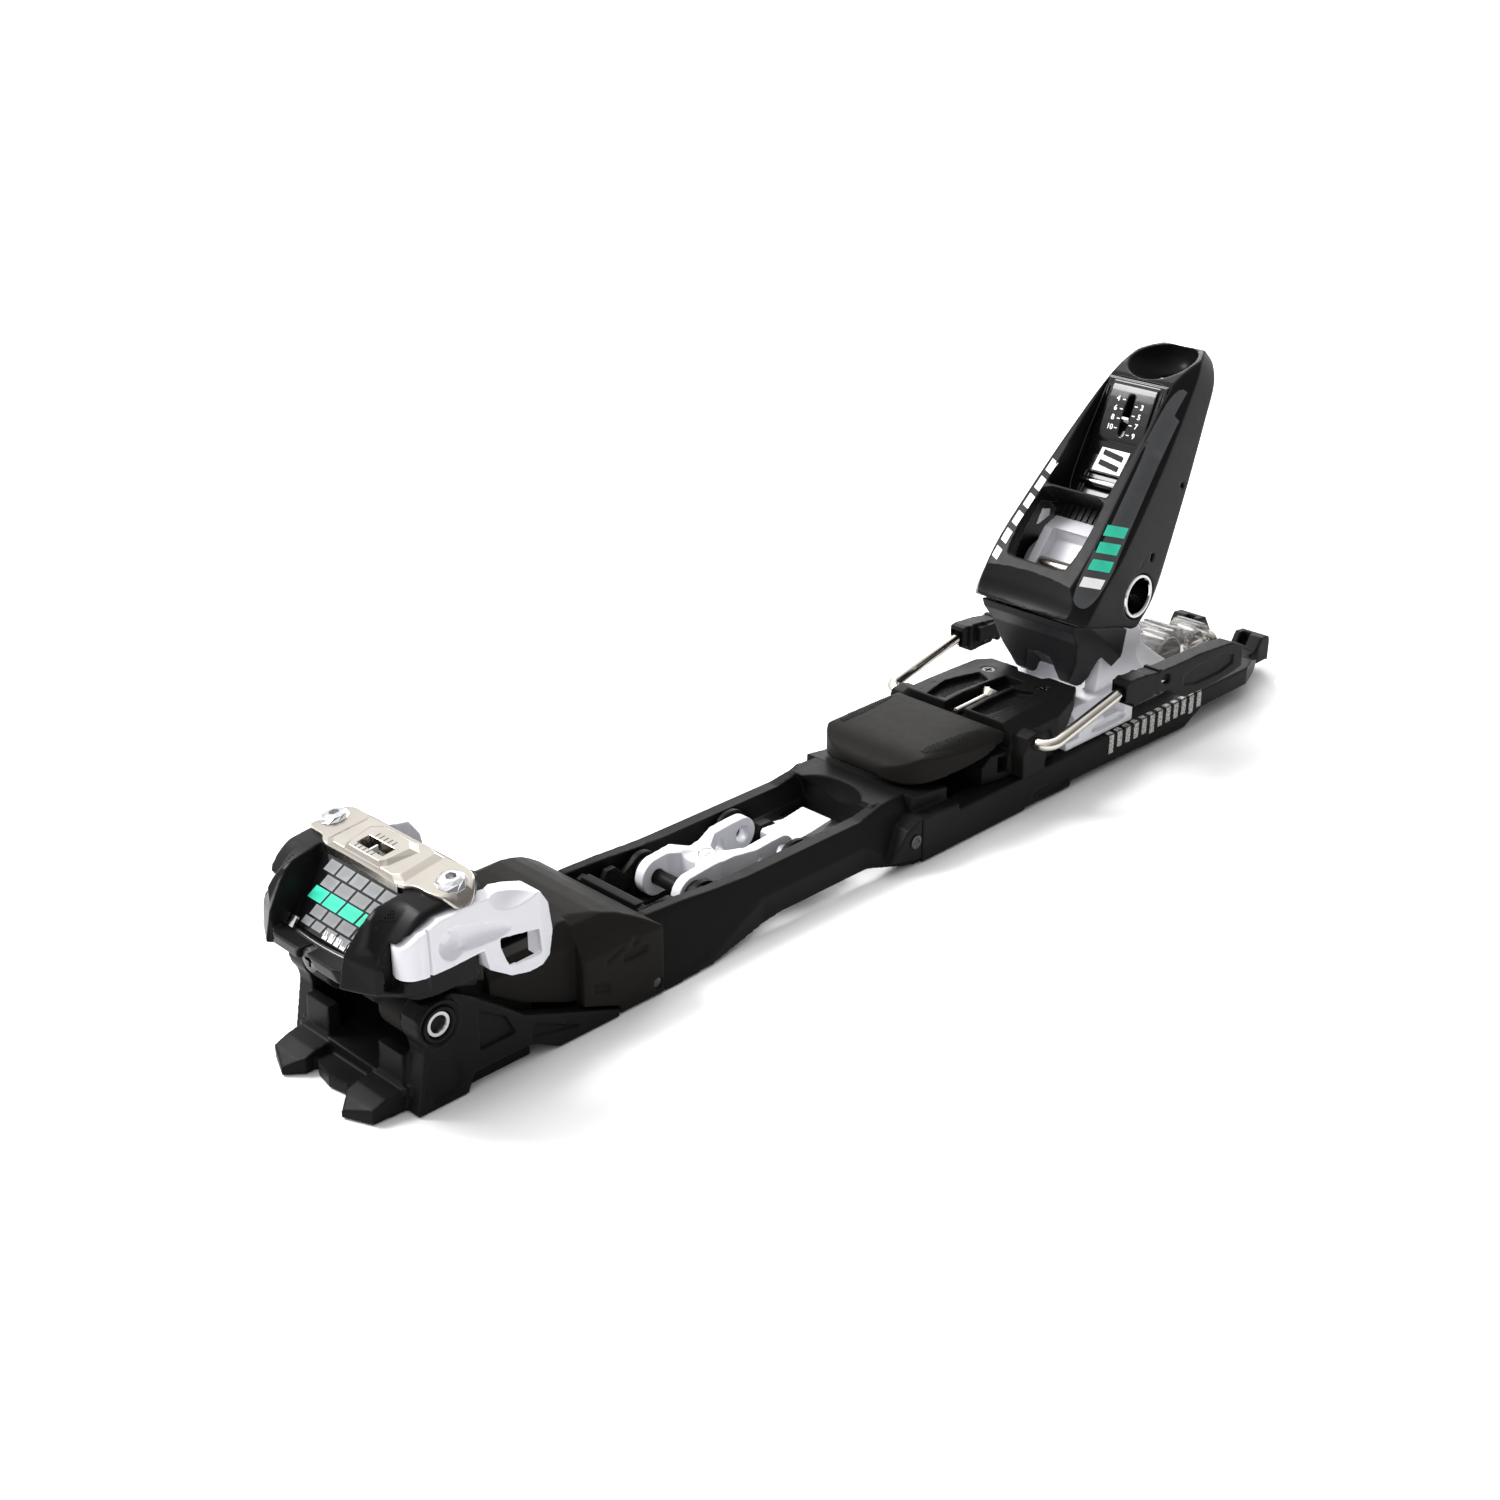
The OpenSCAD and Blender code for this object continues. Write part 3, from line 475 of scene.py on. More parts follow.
def noise(tree, scale, detail=3.0, stretch=None):
    """Noise by place on the object, with its scale in features per metre."""
    place = add(tree, "ShaderNodeTexCoord").outputs["Object"]
    if stretch:
        mapping = add(tree, "ShaderNodeMapping", Scale=stretch)
        tree.links.new(place, mapping.inputs["Vector"])
        place = mapping.outputs["Vector"]
    node = add(tree, "ShaderNodeTexNoise", Scale=scale, Detail=detail)
    tree.links.new(place, node.inputs["Vector"])
    return node.outputs["Fac"]


def carried(tree, factor, **ranges):
    """Carries a factor from one range to another, each 0 to 1 unless named."""
    node = add(tree, "ShaderNodeMapRange", **ranges)
    tree.links.new(factor, node.inputs["Value"])
    return node.outputs["Result"]


def blend_colours(tree, factor, low, high):
    """Mixes from low, a colour or a socket, to the colour high."""
    node = add(tree, "ShaderNodeMix", data_type="RGBA")
    if hasattr(low, "is_linked"):
        tree.links.new(low, node.inputs[6])
    else:
        node.inputs[6].default_value = (*low, 1)
    node.inputs[7].default_value = (*high, 1)
    tree.links.new(factor, node.inputs[0])
    return node.outputs[2]


def bump(tree, shader, height, strength, distance):
    """Lets a height pattern tilt the shaded surface; the distance is in millimetres."""
    node = add(tree, "ShaderNodeBump", Strength=strength, Distance=distance * MM)
    tree.links.new(height, node.inputs["Height"])
    tree.links.new(node.outputs["Normal"], shader.inputs["Normal"])


def coloured(tree, shader, colour, roughness):
    """Feeds the shader's colour and roughness."""
    tree.links.new(colour, shader.inputs["Base Color"])
    tree.links.new(roughness, shader.inputs["Roughness"])


def plastic(name, dark, light, rough, grain=0.35, specular=0.3):
    """Moulded plastic: cloudy colour, fine spark-eroded grain, worn paler edges."""
    material, tree, shader = new_material(name)
    colour = blend_colours(tree, noise(tree, 90, 4), dark, light)
    edge = add(tree, "ShaderNodeNewGeometry").outputs["Pointiness"]
    wear = carried(tree, edge, From_Min=0.52, From_Max=0.62, To_Max=0.35)
    paler = tuple(min(1.0, 1.6 * c + 0.01) for c in light)
    polish = carried(tree, noise(tree, 260, 2), To_Min=rough - 0.06, To_Max=rough + 0.06)
    coloured(tree, shader, blend_colours(tree, wear, colour, paler), polish)
    set_inputs(shader, Specular_IOR_Level=specular)
    bump(tree, shader, noise(tree, 2600, 2), grain, 0.05)
    return material


def metal(name, dark, light, rough, brushed=(1, 1, 1)):
    """Metal with slight tone changes, fine scratches and uneven polish."""
    material, tree, shader = new_material(name)
    set_inputs(shader, Metallic=1.0)
    tone = blend_colours(tree, noise(tree, 120, 3), dark, light)
    polish = carried(tree, noise(tree, 700, 3, brushed), To_Min=rough * 0.75, To_Max=rough * 1.3)
    coloured(tree, shader, tone, polish)
    bump(tree, shader, noise(tree, 1500, 2, brushed), 0.15, 0.02)
    return material


BLACK = plastic("black_nylon", (0.0056, 0.0055, 0.0053), (0.0080, 0.0078, 0.0074), 0.42, 0.3, 0.06)
BLACK_SATIN = plastic("black_satin", (0.0062, 0.0062, 0.0064), (0.0088, 0.0088, 0.0091), 0.32, 0.1, 0.08)
CHARCOAL = plastic("charcoal_nylon", (0.0108, 0.0101, 0.0092), (0.0140, 0.0131, 0.0119), 0.5, 0.3, 0.032)
WHITE = plastic("white_nylon", (0.66, 0.66, 0.71), (0.74, 0.74, 0.775), 0.36, 0.15, 0.4)
NICKEL = metal("nickel_cover", (0.40, 0.37, 0.33), (0.47, 0.44, 0.395), 0.24, (1, 0.06, 1))
CHROME = metal("chrome", (0.50, 0.50, 0.515), (0.6, 0.6, 0.615), 0.1)
STEEL = metal("wire_steel", (0.50, 0.47, 0.42), (0.6, 0.565, 0.51), 0.2, (0.05, 1, 1))
DARK_STEEL = metal("dark_steel", (0.05, 0.05, 0.052), (0.09, 0.09, 0.095), 0.35)
CUP_GREY = plastic("cup_grey", (0.0125, 0.0125, 0.0140), (0.0165, 0.0165, 0.0182), 0.35, 0.15, 0.12)
PANEL_GREY = plastic("panel_grey", (0.045, 0.046, 0.049), (0.058, 0.059, 0.063), 0.33, 0.12, 0.4)
GLOSS_BLACK = plastic("gloss_black", (0.003, 0.003, 0.0035), (0.005, 0.005, 0.006), 0.16, 0.03, 0.35)
PRINT_WHITE = plastic("print_white", (0.78, 0.78, 0.79), (0.86, 0.86, 0.86), 0.4, 0.05, 0.4)
PRINT_GREY = plastic("print_grey", (0.16, 0.165, 0.17), (0.2, 0.205, 0.21), 0.35, 0.05, 0.4)
PRINT_DARK = plastic("print_dark", (0.02, 0.02, 0.02), (0.03, 0.03, 0.03), 0.4, 0.05, 0.3)
CAM_GREY = plastic("cam_grey", (0.22, 0.225, 0.235), (0.27, 0.275, 0.285), 0.35, 0.08, 0.4)
TEAL = plastic("print_teal", (0.02, 0.42, 0.27), (0.035, 0.53, 0.35), 0.35, 0.05, 0.4)


def speckled():
    """Scale bars printed in silver-white ink with dark worn flecks."""
    material, tree, shader = new_material("scale_print")
    fleck = carried(tree, noise(tree, 1500, 2), From_Min=0.50, From_Max=0.56)
    colour = blend_colours(tree, fleck, (0.62, 0.61, 0.58), (0.12, 0.115, 0.11))
    tree.links.new(colour, shader.inputs["Base Color"])
    set_inputs(shader, Roughness=0.5)
    bump(tree, shader, noise(tree, 1500, 2), 0.3, 0.05)
    return material


def clear_plastic(name, dark, light, rough):
    """Smoky clear plastic: part body colour, part see-through."""
    material, tree, shader = new_material(name)
    set_inputs(shader, Transmission_Weight=0.75, IOR=1.3, Specular_IOR_Level=0.35)
    polish = carried(tree, noise(tree, 300, 2), To_Min=rough * 0.6, To_Max=rough * 1.4)
    coloured(tree, shader, blend_colours(tree, noise(tree, 150, 2), dark, light), polish)
    return material


SCALE = speckled()
CLEAR = clear_plastic("clear_cover", (0.36, 0.35, 0.34), (0.46, 0.45, 0.44), 0.1)

CAD_LOOKS = (
    (DARK_STEEL, "front_slide_plate frame_screws toe_release_screw brake_screws"),
    (BLACK, "rear_plate mode_anchor axle_block axle_bushes slider_bridge mode_pivot_pin mode_lever "
            "mode_crank_pin centre_frame rear_track sole_plate_carrier brake_base pedal_grips "
            "brake_tip_left brake_tip_right"),
    (CHROME, "toe_axle toe_cover_rivets heel_axle heel_cross_pin"),
    (WHITE, "climbing_aid climbing_step wing_left wing_right heel_carriage cam_link"),
    (CHARCOAL, "toe_platform sole_glide_plate brake_pedal"),
    (SCALE, "length_scale"),
    (BLACK_SATIN, "toe_housing heel_housing"),
    (NICKEL, "toe_cover cam_roller"),
    (GLOSS_BLACK, "toe_window heel_window"),
    (STEEL, "toe_spring toe_spring_rod wing_pins sole_height_screw length_screw heel_spring "
            "heel_spring_piston heel_release_screw brake_rod brake_spring brake_arm_left "
            "brake_arm_right"),
    (PRINT_WHITE, "toe_indicator heel_indicator"),
    (CLEAR, "length_screw_cover"),
    (PANEL_GREY, "heel_side_panels"),
    (CUP_GREY, "heel_cup"),
)


def dress_cad_node(name, material):
    """Gives a CAD node its material and softens its edges with modifiers."""
    node = NODES[name]
    node.data.materials.clear()
    node.data.materials.append(material)
    weld = node.modifiers.new("weld", "WELD")
    weld.merge_threshold = WELD_WITHIN
    flat = node.modifiers.new("flat", "DECIMATE")
    flat.decimate_type = "DISSOLVE"
    flat.angle_limit = math.radians(0.5)
    edge = node.modifiers.new("edge", "BEVEL")
    edge.width = 0.3 * MM
    edge.segments = 2
    edge.limit_method = "ANGLE"
    edge.angle_limit = math.radians(30)
    edge.harden_normals = True
    for face in node.data.polygons:
        face.use_smooth = True


for look, node_names in CAD_LOOKS:
    for node_name in node_names.split():
        dress_cad_node(node_name, look)

# ---- toe unit ----

WING_PIN = (20, 33.2)  # (x, y) of the left wing's pin
RIVET = (38.3, 31.4)  # (x, y) of the left rivet
COVER_LEVEL = 77.5  # where the cover lies at its crown
WING_SWINGS = (6, 12, 18, 25.5)  # degrees
WINDOW_LOW = Vector((10.2, 0, 54.4))
WINDOW_HIGH = Vector((26.6, 0, 73.0))
WINDOW_LENGTH = (WINDOW_HIGH - WINDOW_LOW).length
WINDOW_UP = (WINDOW_HIGH - WINDOW_LOW).normalized()
WINDOW_OUT = Vector((-WINDOW_UP.z, 0, WINDOW_UP.x))
GREY_ROWS = ((19.4, 23.6, 7.4), (14.6, 18.6, 8.4), (5.0, 8.8, 7.6), (1.4, 4.2, 6.4))  # from, to, pitch


def cover_fall(x, y):
    """How far the toe's top falls below its crown: forwards, sideways and round its front shoulders."""
    over = max(0.0, abs(y) - 17)
    edge = max(0.0, abs(y) - 35)
    ahead = max(0.0, 24 - x) / 8.5
    beside = min(1.0, max(0.0, abs(y) - 21) / 9)
    shoulder = 5.6 * ahead ** 1.5 * beside ** 1.5
    return 0.135 * max(0.0, 46 - x) + 0.004 * over ** 2 + 0.4 * edge ** 2 + shoulder


def sunk(obj):
    """Lays a part made on the flat onto the toe's falling top surface."""
    back = FROM_TIP.inverted()
    for vert in obj.data.vertices:
        at = back @ vert.co
        at.z -= cover_fall(at.x, at.y)
        vert.co = FROM_TIP @ at
    return obj


def space_above_cover():
    """Everything above the surface on which the metal cover lies."""
    xs = [0.5 * i for i in range(105)]
    ys = [0.5 * j for j in range(-82, 83)]

    def build(bm):
        low = [[bm.verts.new((x, y, COVER_LEVEL - cover_fall(x, y))) for y in ys] for x in xs]
        high = [[bm.verts.new((x, y, 92)) for y in ys] for x in xs]
        for i in range(len(xs) - 1):
            for j in range(len(ys) - 1):
                bm.faces.new((low[i][j], low[i][j + 1], low[i + 1][j + 1], low[i + 1][j]))
                bm.faces.new((high[i][j], high[i + 1][j], high[i + 1][j + 1], high[i][j + 1]))
        last_x, last_y = len(xs) - 1, len(ys) - 1
        rim = [(0, j) for j in range(last_y + 1)]
        rim += [(i, last_y) for i in range(1, last_x + 1)]
        rim += [(last_x, j) for j in range(last_y - 1, -1, -1)]
        rim += [(i, 0) for i in range(last_x - 1, 0, -1)]
        bridge(bm, [[low[i][j] for i, j in rim], [high[i][j] for i, j in rim]])
    return shape(build)


def window_way():
    """The room in front of the window."""
    side_view = prism([(0, 53.8), (11.4, 53.8), (26.9, 71.5), (27.5, 90), (-4, 90), (-4, 53.8)], -30, 30)
    front_view = prism([(-18, 50), (18, 50), (24.2, 84), (-24.2, 84)], -4, 30, "x")
    return combined(side_view, [front_view], "INTERSECT")


def above_wing_front():
    """The room of the shell's shoulder caps, over the front ends of the wings."""
    return prism([(10, 58.6), (13.6, 63.2), (20, 68.2), (27, 70.6), (27, 80), (10, 80)], -60, 60)


def swung_wing(name, side, degrees):
    """A wing opened about its pin and a little enlarged, for carving the room it swings through."""
    wing = combined(copy_of(name), [above_wing_front()], "DIFFERENCE")
    pin = FROM_TIP @ Matrix.Translation((WING_PIN[0], side * WING_PIN[1], 52))
    swing = Matrix.Rotation(side * math.radians(degrees), 4, "Z") @ Matrix.Scale(1.035, 4)
    wing.data.transform(pin @ swing @ pin.inverted())
    return wing


def toe_cheek(side):
    """The swelling cheek beside the front window."""
    rings = (
        (20.0, [(1.4, 49), (3.8, 59.4), (9.6, 68.8), (15, 74), (24, 77), (24, 45.5), (10, 46.4), (4, 47.6)]),
        (31.0, [(7.4, 48.6), (8.4, 57), (11.4, 63.4), (15.2, 68), (24, 77), (24, 44), (14, 45), (10, 46.2)]),
        (36.8, [(12.2, 50), (12.6, 57), (14, 62), (17, 67), (24, 75), (24, 45.4), (17, 46.6), (13.6, 48)]))
    return [loft([[(x, side * y, z) for x, z in ring] for y, ring in rings])]


def toe_shoulder(side):
    """The rounded cap over the front of a wing."""
    cap = [(12, 60.4), (13.6, 64.3), (20, 69.2), (27, 71.6), (40, 71.8), (44, 76), (30, 80), (12, 74)]
    return [egg((35, side * 28.5, 67), (13.5, 9.6, 13.2)), prism(cap, *span(side, 28, 36.6))]


def toe_cheek_cuts(side):
    """The tall pocket in a cheek, and the notch below it."""
    pocket = prism([(9.5, 50), (14.5, 49.5), (15.2, 62), (13.2, 67.5), (10.4, 62)], *span(side, 31, 40))
    return pocket, box(6, 11, side * 22 - 3, side * 22 + 3, 44, 49.6)


def wing_room(side):
    """The room that a wing fills at rest, and the room that it swings through."""
    slope = [(12, 52.2), (12, 59.6), (13.6, 63.8), (20, 68.8), (27, 71.2), (80, 71.2), (80, 52.2)]
    pin_x, pin_y = WING_PIN
    barrel = combined(post(pin_x, side * pin_y, 6.5, 52.2, 71.4), [prism(slope, -60, 60)], "INTERSECT")
    behind = prism([(pin_x, 52.2)] + slope[3:], *span(side, 31.4, 50))
    beside = prism([(14.6, 52.2), (14.6, 80), (60, 80), (60, 52.2)], *span(side, 36.7, 60))
    wing = "wing_left" if side > 0 else "wing_right"
    return barrel, behind, beside, *[swung_wing(wing, side, degrees) for degrees in WING_SWINGS]


def make_toe_housing():
    """The toe shell: rounded shoulders under the cover, cheeks with a pocket, and knurled corners."""
    shell = combined(copy_of("toe_housing"), [*both(toe_cheek), *both(toe_shoulder)], "UNION")
    combined(shell, both(wing_room), "DIFFERENCE")
    combined(shell, [window_way(), space_above_cover()], "DIFFERENCE")
    combined(shell, both(toe_cheek_cuts), "DIFFERENCE")
    moulded(shell, 0.42, 7)
    corners = [[(10.5, side * 24.8), (19.5, side * 26.2), (17.5, side * 30.2), (12.0, side * 29.4)]
               for side in (1, -1)]
    studded = knurled(shell, corners, 100, 1.15, 0.8, 0.32)
    piece(studded, "toe_knurled_corners", BLACK_SATIN, "frame")
    return piece(shell, "toe_housing_shell", BLACK_SATIN, "frame", ["toe_housing"])


def frustum(bottom, top, z0, z1):
    """A pad with sloping sides: half an outline at the bottom and a smaller one on top, as (x, y)."""
    return loft([[(x, y, z) for x, y in flipped(half)] for half, z in ((bottom, z0), (top, z1))])


def make_toe_cover():
    """The metal cover: two broad lobes round the rivets, a creased plateau and a raised pad with its slot."""
    half = [(26.2, 0), (26.2, 19), (27.0, 22.0), (29.4, 25.0), (29.8, 31), (31.8, 36.6), (38.0, 39.6),
            (44.0, 37.0), (46.4, 31), (45.6, 25), (45.2, 20), (45.4, 0)]
    cover = prism(flipped(rounded(half, 2, closed=False)), COVER_LEVEL, 78.9, "z")
    plateau = frustum([(26.3, 0), (26.3, 18.4), (28.2, 21.4), (44.6, 20.6), (45.2, 14), (45.2, 0)],
                      [(27.2, 0), (27.2, 15.6), (29, 18), (43.0, 17.2), (44.0, 11.5), (44.0, 0)], 78.7, 80.3)
    pad = frustum([(27.0, 0), (27.0, 9.6), (29, 11.4), (40.2, 13.4), (43.2, 9), (43.4, 0)],
                  [(27.8, 0), (27.8, 7.9), (30, 9.4), (38.2, 10.4), (40.6, 7), (41, 0)], 80.1, 81.9)
    lip = prism([(26.2, 78.6), (26.2, 75.6), (27, 75.2), (28.2, 77.6)], -19.5, 19.5)
    combined(cover, [plateau, pad, lip], "UNION")
    slot = box(30.2, 35.2, -7, 7, 75, 84)
    x, y = RIVET
    holes = both(lambda side: [post(x, side * y, 2, 60, 90)])
    dimples = both(lambda side: [egg((x, side * y, 80.6), (6.2, 6.2, 2.0))])
    combined(cover, [slot, *holes, *dimples], "DIFFERENCE")
    moulded(cover, 0.2, 3, 0.2)
    piece(sunk(cover), "toe_cover_plate", NICKEL, "frame", ["toe_cover"])
    floor = sunk(box(29.8, 35.6, -7.5, 7.5, 77.6, 78.1))
    piece(floor, "toe_dial_floor", GLOSS_BLACK, "frame")
    pointer = sunk(box(31.2, 34.4, 1.2, 1.9, 78.0, 80.6))
    piece(pointer, "toe_dial_pointer", PRINT_WHITE, "toe_indicator", ["toe_indicator"])
    ticks = []
    for i in range(5):
        y = -4.4 + 2.2 * i
        ticks.append(slanted(y - 0.2, y + 0.2, 35.7, 37.9))
        ticks.append(slanted(y + 0.9, y + 1.3, 28.2, 29.9))
    marks = printed(cover, ticks, lambda u, v: (v, u, 100), DOWN, ink=0.05)
    piece(marks, "toe_dial_ticks", PRINT_DARK, "frame")
    return cover


def make_toe_rivets():
    """Chromed rivets with a facetted crown and a hexagon socket."""
    crown = ((2, 72, 0), (2, 78.4, 0), (5.1, 78.5, 0), (5.2, 79.0, 0), (4.3, 80.2, 0.5), (3.0, 80.8, 0))
    hexagon = ((1.6, 79.4, 0), (2.0, 81.2, 0))

    def rivet(side):
        def solid(profile, facets):
            return loft([[(x, y, z) for x, y in circle(RIVET[0], side * RIVET[1], radius, facets, twist)]
                         for radius, z, twist in profile])
        return [combined(solid(crown, 10), [solid(hexagon, 6)], "DIFFERENCE")]
    rivets = sunk(joined(both(rivet)))
    rivets = piece(rivets, "toe_rivets", CHROME, "frame", ["toe_cover_rivets"])
    rivets.data.shade_flat()
    return rivets


def window_half_width(v):
    """Half the window's width at v up it."""
    return 17.4 + 5.8 * v / WINDOW_LENGTH


def window_point(u, v, lift=0.0):
    """A point on the bulging front window: u across it and v up it, both in millimetres."""
    bulge = 1.5 * (1 - (u / window_half_width(v)) ** 2)
    bulge += 0.5 * math.sin(math.pi * min(1, max(0, v / WINDOW_LENGTH)))
    return WINDOW_LOW + WINDOW_UP * v + Vector((0, u, 0)) + WINDOW_OUT * (bulge - 0.9 + lift)


def window_panel():
    """A bulging sheet of even thickness, built as a grid over its top and its back."""
    columns, rows, thick = 28, 20, 0.9

    def build(bm):
        layers = []
        for lift in (0.0, -thick):
            layer = []
            for j in range(rows + 1):
                v = WINDOW_LENGTH * j / rows
                us = [window_half_width(v) * (2 * i / columns - 1) for i in range(columns + 1)]
                layer.append([bm.verts.new(window_point(u, v, lift)) for u in us])
            layers.append(layer)
        top, low = layers
        for j in range(rows):
            for i in range(columns):
                bm.faces.new((top[j][i], top[j][i + 1], top[j + 1][i + 1], top[j + 1][i]))
                bm.faces.new((low[j][i], low[j + 1][i], low[j + 1][i + 1], low[j][i + 1]))
        for i in range(columns):
            bm.faces.new((top[0][i], low[0][i], low[0][i + 1], top[0][i + 1]))
            bm.faces.new((top[rows][i], top[rows][i + 1], low[rows][i + 1], low[rows][i]))
        for j in range(rows):
            bm.faces.new((top[j][0], top[j + 1][0], low[j + 1][0], low[j][0]))
            bm.faces.new((top[j][columns], low[j][columns], low[j + 1][columns], top[j + 1][columns]))
    return shape(build)


def make_toe_window():
    """The front window: a bulging glossy panel with rows of plain printed bars."""
    window = piece(window_panel(), "toe_window_panel", GLOSS_BLACK, "frame", ["toe_window"])
    grey = []
    for index, (v0, v1, width) in enumerate(GREY_ROWS):
        u = -19.5 + 0.9 * index
        while u + width < 19.5:
            grey.append(slanted(u, u + width - 1.1, v0, v1, -1.2))
            u += width
    teal = [slanted(u, u + 8.0, 9.4, 14.0, -1.8) for u in (-18.0, -9.0, 0.0, 9.0)]
    white = [slanted(-16.6 + 3.0 * i, -14.3 + 3.0 * i, 0.4, 3.2, -0.3) for i in range(6)]
    for name, bars, look in (("grey", grey, PRINT_GREY), ("teal", teal, TEAL), ("white", white, PRINT_WHITE)):
        ink = printed(window, bars, lambda u, v: window_point(u, v, 12), -WINDOW_OUT)
        piece(ink, f"toe_window_{name}_bars", look, "frame")
    return window


def make_toe_trim():
    """The rolled lip under the front window, with two bright slivers at its far end."""
    lip = tube([(8.4 + 0.004 * y * y, y, 53.2 + 0.012 * abs(y)) for y in range(-17, 18)], 1.25, sides=14)
    piece(lip, "toe_window_lip", GLOSS_BLACK, "frame")
    sliver = [(8.2, 54.2), (7.4, 54.9), (9.6, 58.0), (10.5, 57.4)]
    slivers = [prism(sliver, y, y + long) for y, long in ((13.2, 2.4), (17.6, 1.8))]
    piece(joined(slivers), "toe_window_slivers", CHROME, "frame")


def make_wing_pins():
    """The wings' pivot pins, hidden under the shell's shoulders."""
    pins = both(lambda side: [post(WING_PIN[0], side * WING_PIN[1], 2, 45.6, 64)])
    return piece(joined(pins), "wing_pivot_pins", STEEL, "frame", ["wing_pins"])


def make_wing(name, side):
    """A toe wing: smooth shoulder, thumb scoop, long recess with its peg, and the seam of its front end."""
    scoop = egg((58, side * 45.0, 72.0), (14, 10.5, 9.5), 12)
    waist = egg((40, side * 46.5, 46), (10, 8.2, 6), -30)
    recess = egg((32.0, side * 41.2, 60.6), (6.2, 5.2, 6.0))
    channel = egg((42.5, side * 41.4, 59.0), (13.5, 5.2, 4.4), -7)
    seam = prism([(22.4, 50), (23.3, 50), (22.9, 72), (22.0, 72)], *span(side, 38.6, 41))
    hollow = prism([(49.5, 36), (68.0, 36), (68.0, 53), (50, 55.5)], *span(side, 20, 38.4))
    tapered = loft([[(x, side * y, z) for x, z in ring] for y, ring in (
        (30.0, [(49.0, 42.2), (49.0, 55.4), (67.0, 53.2), (67.6, 42.2)]),
        (42.0, [(54.6, 44.2), (51.0, 54.2), (65.0, 52.4), (65.8, 44.6)]))])
    cuts = [scoop, waist, recess, channel, seam, hollow, tapered, above_wing_front()]
    wing = piece(carved(name, cuts, 0.33, 6), f"{name}_shell", WHITE, name, [name])
    peg = rod(30.4, 62.0, 2.1, *span(side, 34.6, 37.0))
    rim = tube([(x, side * 36.9, z) for x, z in circle(30.4, 62.0, 2.1, 32)], 0.26, closed=True)
    piece(joined([peg, rim]), f"{name}_peg", WHITE, name)
    return wing


# ---- axle block, frame and climbing aid ----

TOE_AXLE = (27, 31.5)  # (x, z)


def make_axle_block():
    """The block screwed through the ski plate: ribs, pockets and a ring round each end of the axle."""
    foot = rounded([(19.5, 3), (36, 3), (34, 17), (22, 19)], 1)

    def cuts(side):
        return rod(*TOE_AXLE, 7.6, *span(side, 35.4, 37)), prism(foot, *span(side, 33.8, 37.7))

    block = carved("axle_block", both(cuts), 0.5, 4)
    return piece(block, "axle_block_body", BLACK, "slider", ["axle_block"])


def make_toe_platform():
    """The platform under the toe of the boot, with its moulded side marks."""
    marks = ([(98, 22), (107, 25.5), (107, 27.5), (98, 24)],
             rounded([(110, 24), (114, 25), (113, 28.5), (110, 27.5)], 1),
             [(90, 30.5), (96, 31.5), (96, 32.2), (90, 31.2)])
    cuts = both(lambda side: [prism(mark, *span(side, 33.3, 37)) for mark in marks])
    platform = carved("toe_platform", cuts, 0.55, 5, 0.22)
    return piece(platform, "toe_platform_body", CHARCOAL, "frame", ["toe_platform"])


def make_centre_frame():
    """The two side rails and the smooth basin that closes the trough behind the climbing aid."""
    basin = egg((237, 0, 30), (17.5, 19.2, 20))
    flutes = both(lambda side: [egg((252, side * 27.5, 30), (13, 4.2, 3.4), 12)])
    rails = carved("centre_frame", [basin, *flutes], 0.5, 6, 0.22)
    return piece(rails, "centre_frame_rails", BLACK, "frame", ["centre_frame"])


def make_rear_track():
    """The track that the heel slides on: ledges, flutes and looped end prongs."""
    marks = ([(266, 20.6), (283, 18.6), (283, 19.4), (266, 21.4)],
             rounded([(330, 3.4), (356, 2.4), (356, 6), (334, 8)], 1))
    cuts = both(lambda side: [prism(mark, *span(side, 34.2, 36)) for mark in marks])
    track = carved("rear_track", cuts, 0.55, 4, 0.2)
    return piece(track, "rear_track_body", BLACK, "frame", ["rear_track"])


def make_track_scale():
    """The pale bars of the length scale, folded over the edge of the track."""
    bars = []
    for side in (1, -1):
        for i in range(12):
            x, tall = 384 + 6 * i, 9.0 if i % 5 == 0 else 7.6
            bars.append(box(x, x + 3.1, *span(side, 34.9, 35.32), 16.3 - tall, 16.3))
            bars.append(box(x, x + 3.1, *span(side, 32.6, 35.32), 15.9, 16.3))
    return piece(joined(bars), "track_scale_bars", SCALE, "frame", ["length_scale"])


def make_slider_lobes():
    """Rounded lobes on the slider's sides, standing beside the climbing aid."""
    outline = rounded([(197, 13), (199, 20), (204, 24.2), (211, 24.2), (215.5, 20), (217, 13)], 3)
    lobes = both(lambda side: [prism(outline, *span(side, 16.4, 18.6))])
    lobes = moulded(joined(lobes), 0.3, 4, 0.3)
    return piece(lobes, "slider_lobes", BLACK, "slider")


def make_toe_axle():
    """The toe axle: a hollow chromed tube with rolled ends, and a black rod in its bore as painted shade."""
    profile = flipped([(2.8, -34.2), (3.2, -35.15), (4.3, -35.15), (4.95, -34.5)])
    # A black rod fills the hollow bore: painted shade for the dark inside of the tube.
    bore_shade_rod = rod(*TOE_AXLE, 2.85, -33.4, 33.4)
    piece(bore_shade_rod, "toe_axle_painted_bore_shade", BLACK, "slider")
    return piece(turned(profile, TOE_AXLE), "toe_axle_tube", CHROME, "slider", ["toe_axle"])


